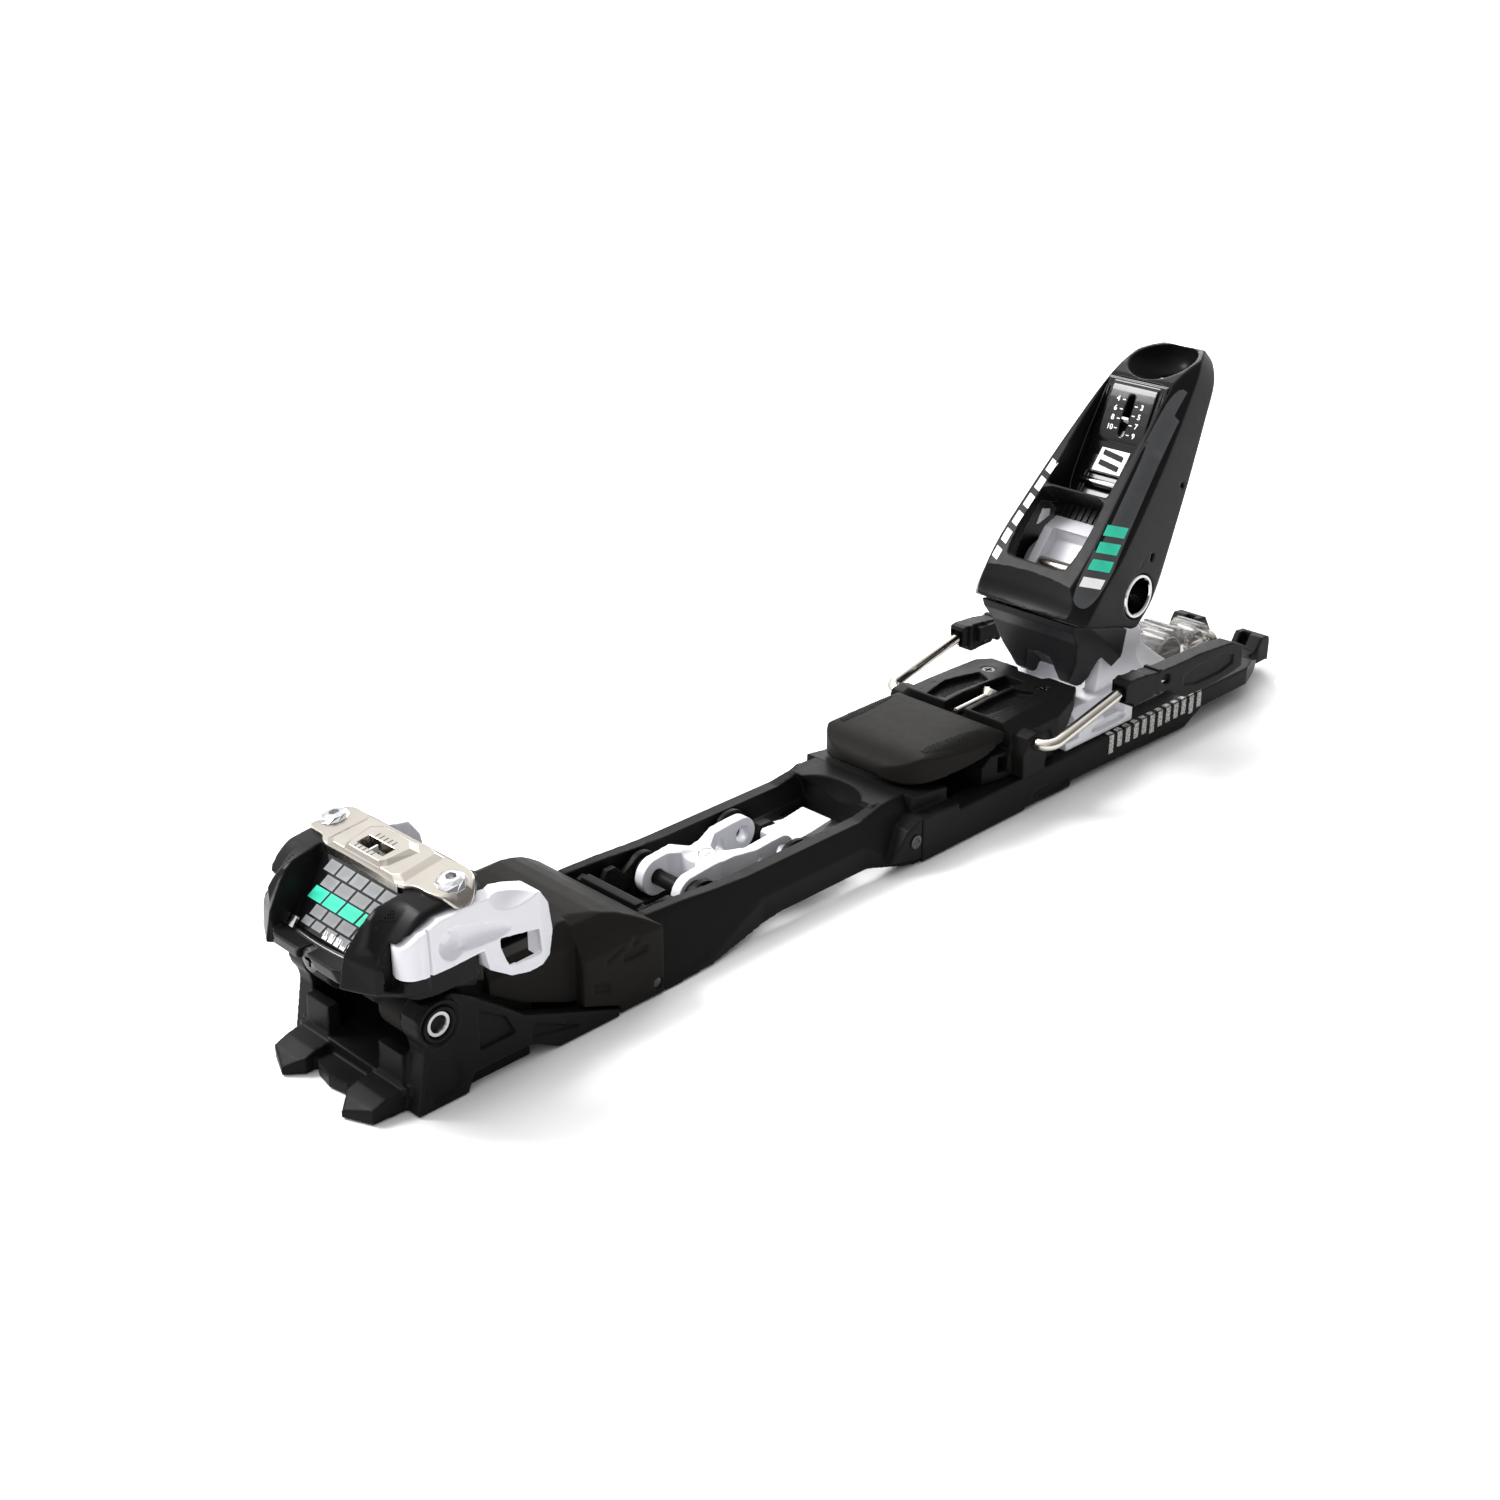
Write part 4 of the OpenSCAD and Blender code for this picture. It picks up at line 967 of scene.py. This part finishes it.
def make_climbing_aid():
    """The white climbing aid: round ears, a waist and two arms, with a moulded ring on its back."""
    bowl = egg((176, 0, 28.5), (11, 7, 6.4))
    sides = both(lambda side: [egg((177, side * 17.5, 17), (12, 6.2, 7))])
    aid = carved("climbing_aid", [bowl, *sides], 0.33, 7)
    piece(aid, "climbing_aid_body", WHITE, "climbing_aid", ["climbing_aid"])
    ring = circle(178.5, 0, 3.6, 40)
    hole = circle(178.5, 0, 3.1, 40)
    arcs = [[ring[i], ring[i + 1], hole[i + 1], hole[i]] for i in range(39) if i % 10 not in (0, 1)]
    bars = [[(176.6, -0.3), (180.4, -0.3), (180.4, 0.3), (176.6, 0.3)]]
    marks = printed(aid, arcs + bars, lambda u, v: (u, v, 60), DOWN, ink=0.05)
    piece(marks, "climbing_aid_ring", PRINT_GREY, "climbing_aid")
    return aid


def make_climbing_step():
    """The small white step: a blade with a hollowed top."""
    above = prism([(210, 17.6), (222, 16.6), (227, 17.0), (242, 19.0), (242, 30), (210, 30)], -8.5, 8.5)
    step = carved("climbing_step", [above], 0.3, 6)
    return piece(step, "climbing_step_blade", WHITE, "climbing_step", ["climbing_step"])


def make_mode_lever():
    """The lever that locks the block: two wavy plates with knurled flanks."""
    lever = moulded(copy_of("mode_lever"), 0.3, 4, 0.3)
    field = rounded([(131, 14), (131, 22), (136, 19.4), (143, 21.5), (150, 18), (156, 20), (156, 12)], 1)
    patches = []
    for start, aim in ((40, -1), (-40, 1), (0, 1), (0, -1)):
        points = [(x, start, z) for x, z in grid_in(field, 1.3)]
        patches.append(studs(lever, points, (0, aim, 0), 0.9, 0.25))
    piece(joined(patches), "mode_lever_knurls", BLACK, "mode_lever")
    return piece(lever, "mode_lever_plates", BLACK, "mode_lever", ["mode_lever"])


# ---- heel unit ----

# Height along the leaned housing, then front, back, half width of the face, half width of the flanks,
# and how far back the sloping rail between face and flank reaches.
HEEL_LEVELS = [
    (-32, -34.5, 13.0, 18.5, 28.6, 12.0),
    (-22, -36.8, 14.0, 21.0, 30.3, 12.0),
    (-8, -36.4, 14.0, 22.6, 30.4, 11.5),
    (10, -34.5, 14.0, 22.6, 30.3, 11.0),
    (50, -31.0, 8.0, 19.4, 26.4, 10.5),
    (84, -27.5, 4.0, 15.4, 21.2, 9.5),
    (100, -24.0, 4.0, 12.0, 17.4, 7.5),
    (110, -20.0, 4.0, 7.0, 11.4, 5.0),
    (115, -18.0, 4.0, 2.0, 4.2, 3.0),
]
BEFORE_HEEL = -60  # a level in front of the leaned housing
HEEL_SIDE = [
    (-33, -28), (-37, -23.6), (-34.5, 10), (-31, 50), (-27.5, 83), (-22, 95), (-14, 106), (-8, 112.5),
    (0, 111), (2.5, 106), (-0.5, 98), (1, 84), (3, 60), (8, 26), (13, 8), (13.5, -4), (9, -12),
    (0, -15), (-12, -21), (-24, -27),
]


def heel_skin():
    """The leaned housing's outer form."""
    rings = []
    for z, front, back, face, flank, rail in curve_through(HEEL_LEVELS, 8):
        corner = min(5.0, flank * 0.5)
        half = [(front, 0), (front, face), (front + rail, flank), (back - corner, flank),
                (back - 0.3 * corner, flank - 0.3 * corner), (back, flank - corner), (back, 0)]
        ring = half + [(x, -y) for x, y in reversed(half[1:-1])]
        rings.append([(x, y, z) for x, y in ring])
    return loft(rings, LEANED)


def flank_details(side):
    """A long groove, a small mark and the cross pin's hole in a flank of the housing."""
    groove = [(-14, -16), (-13.4, -16), (-6, 22), (-6.6, 22)]
    mark = [(-3.4, 15), (-1.6, 16.2), (-2.8, 19.4), (-4.6, 18.2)]
    return (prism(groove, *span(side, 29.6, 40), "y", LEANED),
            prism(mark, *span(side, 25.6, 40), "y", LEANED),
            rod(-1.5, 52, 1.2, *span(side, 20, 40), LEANED))


def make_heel_housing():
    """The heel shell: a lofted body with its thumb bowl, deep recess, lower opening and bulging chin."""
    shell = heel_skin()
    combined(shell, [prism(rounded(HEEL_SIDE, 1), -34, 34, "y", LEANED)], "INTERSECT")
    between_cheeks = [(-29, 20), (-29, -14), (-10, -30), (20, -30), (20, 30), (0, 26), (-14, 26)]
    cheeks = prism(between_cheeks, -24, 24, "y", LEANED)
    bowl = egg((-24, 0, 98.6), (22.5, 14.9, 12.4), 20, LEANED)
    half = [(0, -9), (13.6, -9), (15.6, -7), (17.2, 6), (16.2, 20), (15.4, 26), (0, 26)]
    opening = prism(mirrored(rounded(half, 1, closed=False)), BEFORE_HEEL, -14, "x", LEANED)
    recess = prism([(-60, 27), (-16.4, 27.4), (-16.4, 50), (-18.5, 57), (-24.8, 80), (-28, 84), (-60, 84)],
                   -15.4, 15.4, "y", LEANED)
    half = [(0, 27.2), (13, 27.2), (15.2, 29.5), (16.0, 55), (15.4, 78), (13.0, 83.8), (0, 83.8)]
    flare = prism(mirrored(rounded(half, 1, closed=False)), BEFORE_HEEL, -20, "x", LEANED)
    axle = rod(0, 0, 10.05, -40, 40, LEANED)
    screw_way = post(-8, 0, 5.2, 88.6, 101, LEANED)
    brow = egg((-43, 0, -27), (14, 44, 15), 0, LEANED)
    combined(shell, [cheeks, bowl, opening, recess, flare, axle, screw_way, brow], "DIFFERENCE")
    combined(shell, both(flank_details), "DIFFERENCE")
    moulded(shell, 0.45, 7, 0.22)
    return piece(shell, "heel_housing_shell", BLACK_SATIN, "heel_unit", ["heel_housing"])


def rail_middle(v):
    """Half the distance between the middles of the two sloping rails, at height v."""
    return 26.4 - 0.089 * max(0, v)


def rising_bar(u0, u1, v, tall, rise):
    """An upright-sided bar from height v whose far side stands higher by rise."""
    return [(u0, v), (u1, v + rise), (u1, v + rise + tall), (u0, v + tall)]


def make_heel_rails(shell):
    """The broad grey stripe on the near rail with its printed bars, and the pale bars beside the far rail.
    The far rail's grey panel is left out, so its black shell stands there as painted shade.
    """
    def on_rail(u, v):
        return (BEFORE_HEEL, -(rail_middle(v) + u), v)

    def on_border(u, v):
        return (BEFORE_HEEL, 19.9 - 0.07 * max(0, v) + u, v)

    stripe = rounded([(-3.2, -17), (-1.5, -21), (2.0, -20), (3.7, -10), (3.4, 20), (2.9, 50), (2.2, 86),
                      (-2.0, 86), (-2.6, 60), (-3.2, 30)], 2)
    band = printed(shell, [stripe], on_rail, BACKWARD, LEANED, ink=0.12, step=2.0)
    # Both side panels are hidden and only the near stripe is made: the far panel stays black as painted
    # shade.
    piece(band, "heel_rail_stripe", PANEL_GREY, "heel_unit", ["heel_side_panels"])
    white = [rising_bar(-2.4, 2.8, -13.0, 4.5, 3.4)]
    teal = [rising_bar(-2.4, 2.8, v, 5.0, 3.4) for v in (-5.0, 3.0, 11.0)]
    far = [rising_bar(-1.7, 1.7, v, long, 1.4)
           for v, long in ((-13, 5), (-5, 6), (4, 6), (13, 6), (22, 6), (31, 6))]
    for name, shapes, lay, look in (("near_white", white, on_rail, PRINT_WHITE),
                                    ("near_teal", teal, on_rail, TEAL),
                                    ("far_white", far, on_border, PRINT_WHITE)):
        bars = printed(shell, shapes, lay, BACKWARD, LEANED, ink=0.2, step=2.0)
        piece(bars, f"heel_bars_{name}", look, "heel_unit")


def insert_tray():
    """The tray with its slanted dial panel, the dial's slot and the pocket below."""
    side_view = [(-19.4, 27.6), (-16.6, 27.6), (-16.6, 50), (-18.6, 57), (-25.2, 80.6), (-27.0, 83.4),
                 (-27.6, 82.6), (-26.6, 79.6), (-20.6, 56.4), (-18.4, 50), (-18.0, 31)]
    tray = prism(side_view, -15.2, 15.2, "y", LEANED)
    pocket = box(-30, -17.2, -9.8, 9.8, 30.5, 42.0, LEANED)
    combined(tray, [pocket], "DIFFERENCE")
    panel = rounded([(-21.4, 56.4), (-19.6, 56.0), (-18.0, 58), (-24, 80.6), (-26.0, 82.8), (-27.4, 81.4),
                     (-27.6, 78.4)], 2)
    combined(tray, [prism(panel, -11.6, 11.6, "y", LEANED)], "UNION")
    slot = rounded([(-1.9, 60.0), (0, 58.6), (1.9, 60.0), (1.9, 75.6), (0, 77), (-1.9, 75.6)], 1)
    combined(tray, [prism(slot, -40, -14, "x", LEANED)], "DIFFERENCE")
    return moulded(tray, 0.3, 4, 0.22)


def make_heel_insert():
    """The gloss insert in the recess: a slanted dial panel over a white patch, in a beaded tray."""
    tray = piece(insert_tray(), "heel_insert_tray", GLOSS_BLACK, "heel_unit", ["heel_window"])
    edge = mirrored([(14.0, 79), (14.7, 62), (14.4, 45), (13.4, 33), (11.2, 30.2)])
    path = [(-19.9 - 0.155 * max(0, z - 30), y, z) for y, z in rounded(edge, 2, closed=False)]
    bead = tube(path, 0.42, LEANED)
    piece(bead, "heel_insert_bead", GLOSS_BLACK, "heel_unit")
    patch = prism([(-7.2, 42.6), (7.2, 42.6), (7.2, 54.4), (-7.2, 54.4)], -19.6, -18.2, "x", LEANED)
    piece(patch, "heel_white_patch", PRINT_WHITE, "heel_unit")
    bars = [prism(rising_bar(-5.0, 5.0, v, 2.4, 1.6), -20.3, -19.5, "x", LEANED) for v in (43.8, 48.6)]
    piece(joined(bars), "heel_patch_bars", BLACK, "heel_unit")
    pointer = box(-24.6, -18.4, -1.6, 1.6, 66.0, 66.9, LEANED)
    nut = post(-8, 0, 6.9, 64.1, 68.9, LEANED)
    combined(pointer, [box(-19, -7, -1.2, 1.2, 65.2, 67.6, LEANED), nut], "UNION")
    piece(pointer, "heel_dial_pointer", PRINT_WHITE, "heel_indicator", ["heel_indicator"])
    ticks, digits = [], []
    for i, (left, right) in enumerate((("4", "3"), ("6", "5"), ("8", "7"), ("10", "9"))):
        z = 74.0 - 4.0 * i
        ticks.append(slanted(2.7, 4.2, z - 0.2, z + 0.2))
        ticks.append(slanted(-4.2, -2.7, z - 2.1, z - 1.7))
        digits.append((left, 6.4, z))
        digits.append((right, -6.4, z - 1.9))
    marks = printed(tray, ticks, lambda u, v: (BEFORE_HEEL, u, v), BACKWARD, LEANED)
    piece(marks, "heel_dial_ticks", PRINT_WHITE, "heel_unit")
    make_digits("heel_dial_numbers", digits, tray)
    screw_head = prism(circle(0, 60.6, 1.7, 24), -20.5, -19.2, "x", LEANED)
    piece(screw_head, "heel_slot_screw", DARK_STEEL, "heel_unit")
    return tray


def make_digits(name, digits, target):
    """Dial numbers as printed figures, laid on the dial panel."""
    tree = surface_of(target)
    aim = (LEANED.to_3x3() @ Vector(BACKWARD)).normalized()
    upright = (LEANED.to_3x3() @ Vector((0, 0, 1))).normalized()
    bm = bmesh.new()
    for text, y, z in digits:
        curve = bpy.data.curves.new("digit", "FONT")
        curve.body = text
        curve.size = 3.2
        curve.align_x = "CENTER"
        curve.align_y = "CENTER"
        curve.extrude = 0.05
        curve.offset = 0.06
        holder = in_scene("digit", curve)
        graph = bpy.context.evaluated_depsgraph_get()
        mesh = bpy.data.meshes.new_from_object(holder.evaluated_get(graph))
        hit, normal, _, _ = tree.ray_cast(LEANED @ Vector((BEFORE_HEEL, y, z)), aim, DIGIT_REACH)
        up = (upright - normal * upright.dot(normal)).normalized()
        right = up.cross(normal)
        place = Matrix((right, up, normal)).transposed().to_4x4()
        place.translation = hit + normal * 0.04 * MM
        mesh.transform(place @ Matrix.Scale(MM, 4))
        bm.from_mesh(mesh)
        bpy.data.objects.remove(holder)
        bpy.data.meshes.remove(mesh)
    return piece(linked(bm), name, PRINT_WHITE, "heel_unit")


def make_heel_cup():
    """The cup under the chin that the boot's heel steps on, with two prongs."""
    cup = carved("heel_cup", [egg((-8, 0, -50), (26, 9, 12), 10, LEANED)], 0.42, 8)
    return piece(cup, "heel_cup_body", CUP_GREY, "heel_unit", ["heel_cup"])


def make_cam():
    """The white cam carrier in the lower opening, its grey inner wall and a ribbed wall behind."""
    carrier = moulded(copy_of("cam_link"), 0.33, 6, 0.25)
    piece(carrier, "cam_carrier", WHITE, "heel_unit", ["cam_link"])
    wall = [(-13.5 + 2.6 * (1 - (y / 11) ** 2), y) for y in range(-11, 12)]
    inner = prism(wall + [(x + 1.0, y) for x, y in reversed(wall)], -12, 11, "z", LEANED)
    piece(inner, "cam_inner_wall", CAM_GREY, "heel_unit")
    ribs = [box(-16.6, -13, -15.6, 15.6, 19.5, 26.6, LEANED)]
    ribs += [box(-17.3, -16.4, y - 0.9, y + 0.9, 19.5, 26.6, LEANED) for y in range(-15, 16, 3)]
    piece(joined(ribs), "cam_ribbed_wall", BLACK_SATIN, "heel_unit")
    wedge = prism([(-24, 11), (-19.5, 17.5), (-21, 20), (-25, 18)], 16.2, 17.1, "y", LEANED)
    piece(wedge, "cam_side_patch", PRINT_WHITE, "heel_unit")


def make_heel_axle():
    """The hollow axle: a chromed ring with a sloping lip round its open bore."""
    profile = flipped([(7.8, -30.0), (8.3, -30.6), (9.3, -30.6), (10.0, -29.6)])
    tube_body = turned(profile, (0, 0), LEANED)
    return piece(tube_body, "heel_axle_tube", CHROME, "heel_carriage", ["heel_axle"])


def make_heel_carriage():
    """The white carriage: a ramp with fine teeth, fins up to the axle and a long pocket on each side."""
    pocket = rounded([(374, 18.8), (399, 18.8), (399, 22.6), (376, 22.6)], 1)

    def cuts(side):
        return prism(pocket, *span(side, 30.2, 35.4)), egg((436, side * 24, 44), (20, 3.4, 15))

    pitch, tip = 2.2, 1.1
    teeth = [prism([(x, 31.5), (x + tip, 29.9), (x + pitch, 31.5)], -16, 16)
             for x in (367 + pitch * i for i in range(4))]
    carriage = carved("heel_carriage", [*both(cuts), *teeth], 0.5, 6, 0.22)
    return piece(carriage, "heel_carriage_body", WHITE, "heel_carriage", ["heel_carriage"])


# ---- brake ----

def make_brake_base():
    """The brake's housing: two cheeks with knurled pads round a steel rod."""
    flank = rounded([(340, 20), (349, 22), (347, 30), (341, 30)], 1)

    def seam(side):
        front, back, half = side * 20, side * 21.5, 0.25
        outline = [(312, front - half), (352, back - half), (352, back + half), (312, front + half)]
        return [prism(outline, 37.8, 50, "z")]

    side_cuts = both(lambda side: [prism(flank, *span(side, 30.2, 40))])
    base = carved("brake_base", [*both(seam), *side_cuts], 0.4, 4)
    field = ((330, 9), (349, 8), (352, 13.6), (338, 17.4), (328, 15))
    fields = [rounded([(x, side * y) for x, y in field], 1) for side in (1, -1)]
    studded = knurled(base, fields, 60, 1.25, 0.9, 0.3)
    piece(studded, "brake_base_knurls", BLACK, "heel_carriage")
    return piece(base, "brake_base_body", BLACK, "heel_carriage", ["brake_base"])


def make_brake_pedal():
    """The soft-edged pedal with a knurled strip along each side and a thin line across its top."""
    side_view = rounded([(262.2, 31), (263.6, 27.8), (280, 28.2), (300, 28.8), (317, 31.8), (317, 38.4),
                         (311, 40), (281, 40), (271, 39.2), (265.2, 36.8), (262.2, 33.6)], 3)
    half = rounded([(262, 0), (262.3, 10), (264.2, 18), (268.6, 24), (276, 27.4), (296, 29.2), (313, 29.4),
                    (317.4, 27), (317.4, 0)], 3, closed=False)
    section = rounded([(0, 27), (26, 27), (30, 29.6), (29.8, 34.8), (26.2, 38.9), (21, 40), (0, 40)], 2,
                      closed=False)
    pedal = prism(side_view, -34, 34)
    views = [prism(flipped(half), 20, 50, "z"), prism(mirrored(section), 250, 330, "x")]
    combined(pedal, views, "INTERSECT")
    combined(pedal, both(lambda side: [rod(317, 34.4, 2.8, *span(side, 16, 28))]), "UNION")
    line = prism([(280.4, 39.6), (280.9, 39.6), (280.9, 41), (280.4, 41)], -6, 15)
    turn_of_line = prism([(276, 39.5), (277, 39.5), (281, 40.2), (281, 41), (276, 41)], 15, 15.4)
    combined(pedal, [line, turn_of_line], "DIFFERENCE")
    moulded(pedal, 0.45, 9, 0.22)
    field = ((276, 19.0), (309, 22.4), (310, 27.6), (275, 24.6))
    fields = [rounded([(x, side * y) for x, y in field], 1) for side in (1, -1)]
    studded = knurled(pedal, fields, 60, 1.2, 0.85, 0.3)
    piece(studded, "brake_pedal_knurls", BLACK, "brake_pedal", ["pedal_grips"])
    return piece(pedal, "brake_pedal_body", CHARCOAL, "brake_pedal", ["brake_pedal"])


def make_brake_tip(name, side):
    """A tip over the end of the wire: collars, a pocket and a broad paddle."""
    collars = []
    for x in (378.5, 388.5, 398.5):
        along = x - 376
        collars.append(box(x, x + 2.2, *span(side, 39.3, 47.75), 36.2 - 0.08 * along, 46.9 - 0.05 * along))
    tip = combined(copy_of(name), collars, "UNION")
    pocket = rounded([(401, 38.6), (407, 37.6), (407, 42), (401, 42.6)], 1)
    hollow = rounded([(418, 31), (456, 30.5), (456, 38.5), (418, 39.5)], 1)
    cuts = [prism(pocket, *span(side, 46.4, 52)), prism(hollow, *span(side, 47.0, 52))]
    combined(tip, cuts, "DIFFERENCE")
    moulded(tip, 0.38, 5, 0.25)
    return piece(tip, f"{name}_sleeve", BLACK, "brake_arms", [name])


def make_clear_cover():
    """The clear cover over the length screw, with softly moulded ridges."""
    cover = moulded(copy_of("length_screw_cover"), 0.4, 7, 0.2)
    return piece(cover, "length_cover_moulding", CLEAR, "heel_carriage", ["length_screw_cover"])


# ---- every piece, from the toe to the brake ----

make_toe_housing()
make_toe_cover()
make_toe_rivets()
make_toe_window()
make_toe_trim()
make_wing_pins()
make_wing("wing_left", 1)
make_wing("wing_right", -1)
make_axle_block()
make_toe_platform()
make_centre_frame()
make_rear_track()
make_track_scale()
make_slider_lobes()
make_toe_axle()
make_climbing_aid()
make_climbing_step()
make_mode_lever()
heel_shell = make_heel_housing()
make_heel_rails(heel_shell)
make_heel_insert()
make_heel_cup()
make_cam()
make_heel_axle()
make_heel_carriage()
make_clear_cover()
make_brake_base()
make_brake_pedal()
make_brake_tip("brake_tip_left", 1)
make_brake_tip("brake_tip_right", -1)

# ---- stage: floor, light and camera, in metres ----

FLOOR_GAP = 0.0001
CAMERA_AT = (-0.3989, -0.5, 0.3877)
CAMERA_TURN = math.radians(45)
CAMERA_DIP = math.radians(25)


def pale_floor():
    """A matt, nearly white floor with faint clouds."""
    material, tree, shader = new_material("pale_floor")
    tree.links.new(blend_colours(tree, noise(tree, 2, 2), (0.93, 0.93, 0.93), (0.95, 0.95, 0.95)),
                   shader.inputs["Base Color"])
    set_inputs(shader, Roughness=0.9, Specular_IOR_Level=0.1)
    return material


def make_floor():
    """A round floor, just under the object."""
    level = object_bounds()[0].z - FLOOR_GAP
    bm = bmesh.new()
    bmesh.ops.create_circle(bm, cap_ends=True, segments=96, radius=12)
    floor = linked(bm, "floor")
    floor.location = (0, 0, level)
    floor.data.materials.append(pale_floor())


def area_light(name, place, target, size, power):
    """A rectangular lamp that faces its target."""
    data = bpy.data.lights.new(name, "AREA")
    data.shape = "RECTANGLE"
    data.size, data.size_y = size
    data.energy = power
    light = in_scene(name, data)
    light.location = place
    light.rotation_euler = (Vector(target) - Vector(place)).to_track_quat("-Z", "Y").to_euler()


def studio_world():
    """A soft sky, brighter overhead than at the horizon and brighter behind the object than before it."""
    world = bpy.data.worlds.new("studio")
    world.use_nodes = True
    tree = world.node_tree
    background = tree.nodes["Background"]
    background.inputs["Color"].default_value = (1, 1, 1, 1)
    split = add(tree, "ShaderNodeSeparateXYZ")
    tree.links.new(add(tree, "ShaderNodeTexCoord").outputs["Generated"], split.inputs[0])
    above = carried(tree, split.outputs["Z"], To_Min=0.55, To_Max=1.4)
    behind = carried(tree, split.outputs["Y"], From_Min=-0.7, From_Max=0.7, To_Min=0.35, To_Max=1.65)
    strength = add(tree, "ShaderNodeMath", operation="MULTIPLY")
    tree.links.new(above, strength.inputs[0])
    tree.links.new(behind, strength.inputs[1])
    tree.links.new(strength.outputs[0], background.inputs["Strength"])
    bpy.context.scene.world = world


def make_camera():
    """Looks back along the object from its front left quarter, tipped down by CAMERA_DIP."""
    data = bpy.data.cameras.new("camera")
    data.lens = 50
    data.sensor_width = 36
    data.clip_start = 0.01
    camera = in_scene("camera", data)
    camera.location = CAMERA_AT
    level = math.cos(CAMERA_DIP)
    ahead = Vector((math.cos(CAMERA_TURN) * level, math.sin(CAMERA_TURN) * level, -math.sin(CAMERA_DIP)))
    camera.rotation_euler = ahead.to_track_quat("-Z", "Y").to_euler()
    bpy.context.scene.camera = camera


make_floor()
studio_world()
area_light("key", (-0.35, 0.75, 1.0), (0.15, 0, 0.05), (0.5, 0.5), 20)
area_light("rim", (0.9, 0.5, 0.6), (0.2, 0, 0.05), (0.5, 0.8), 5)
area_light("fill", (-0.9, -0.7, 0.6), (0.1, 0, 0.05), (0.8, 0.6), 0.6)
make_camera()
bpy.context.scene.view_settings.view_transform = "Standard"
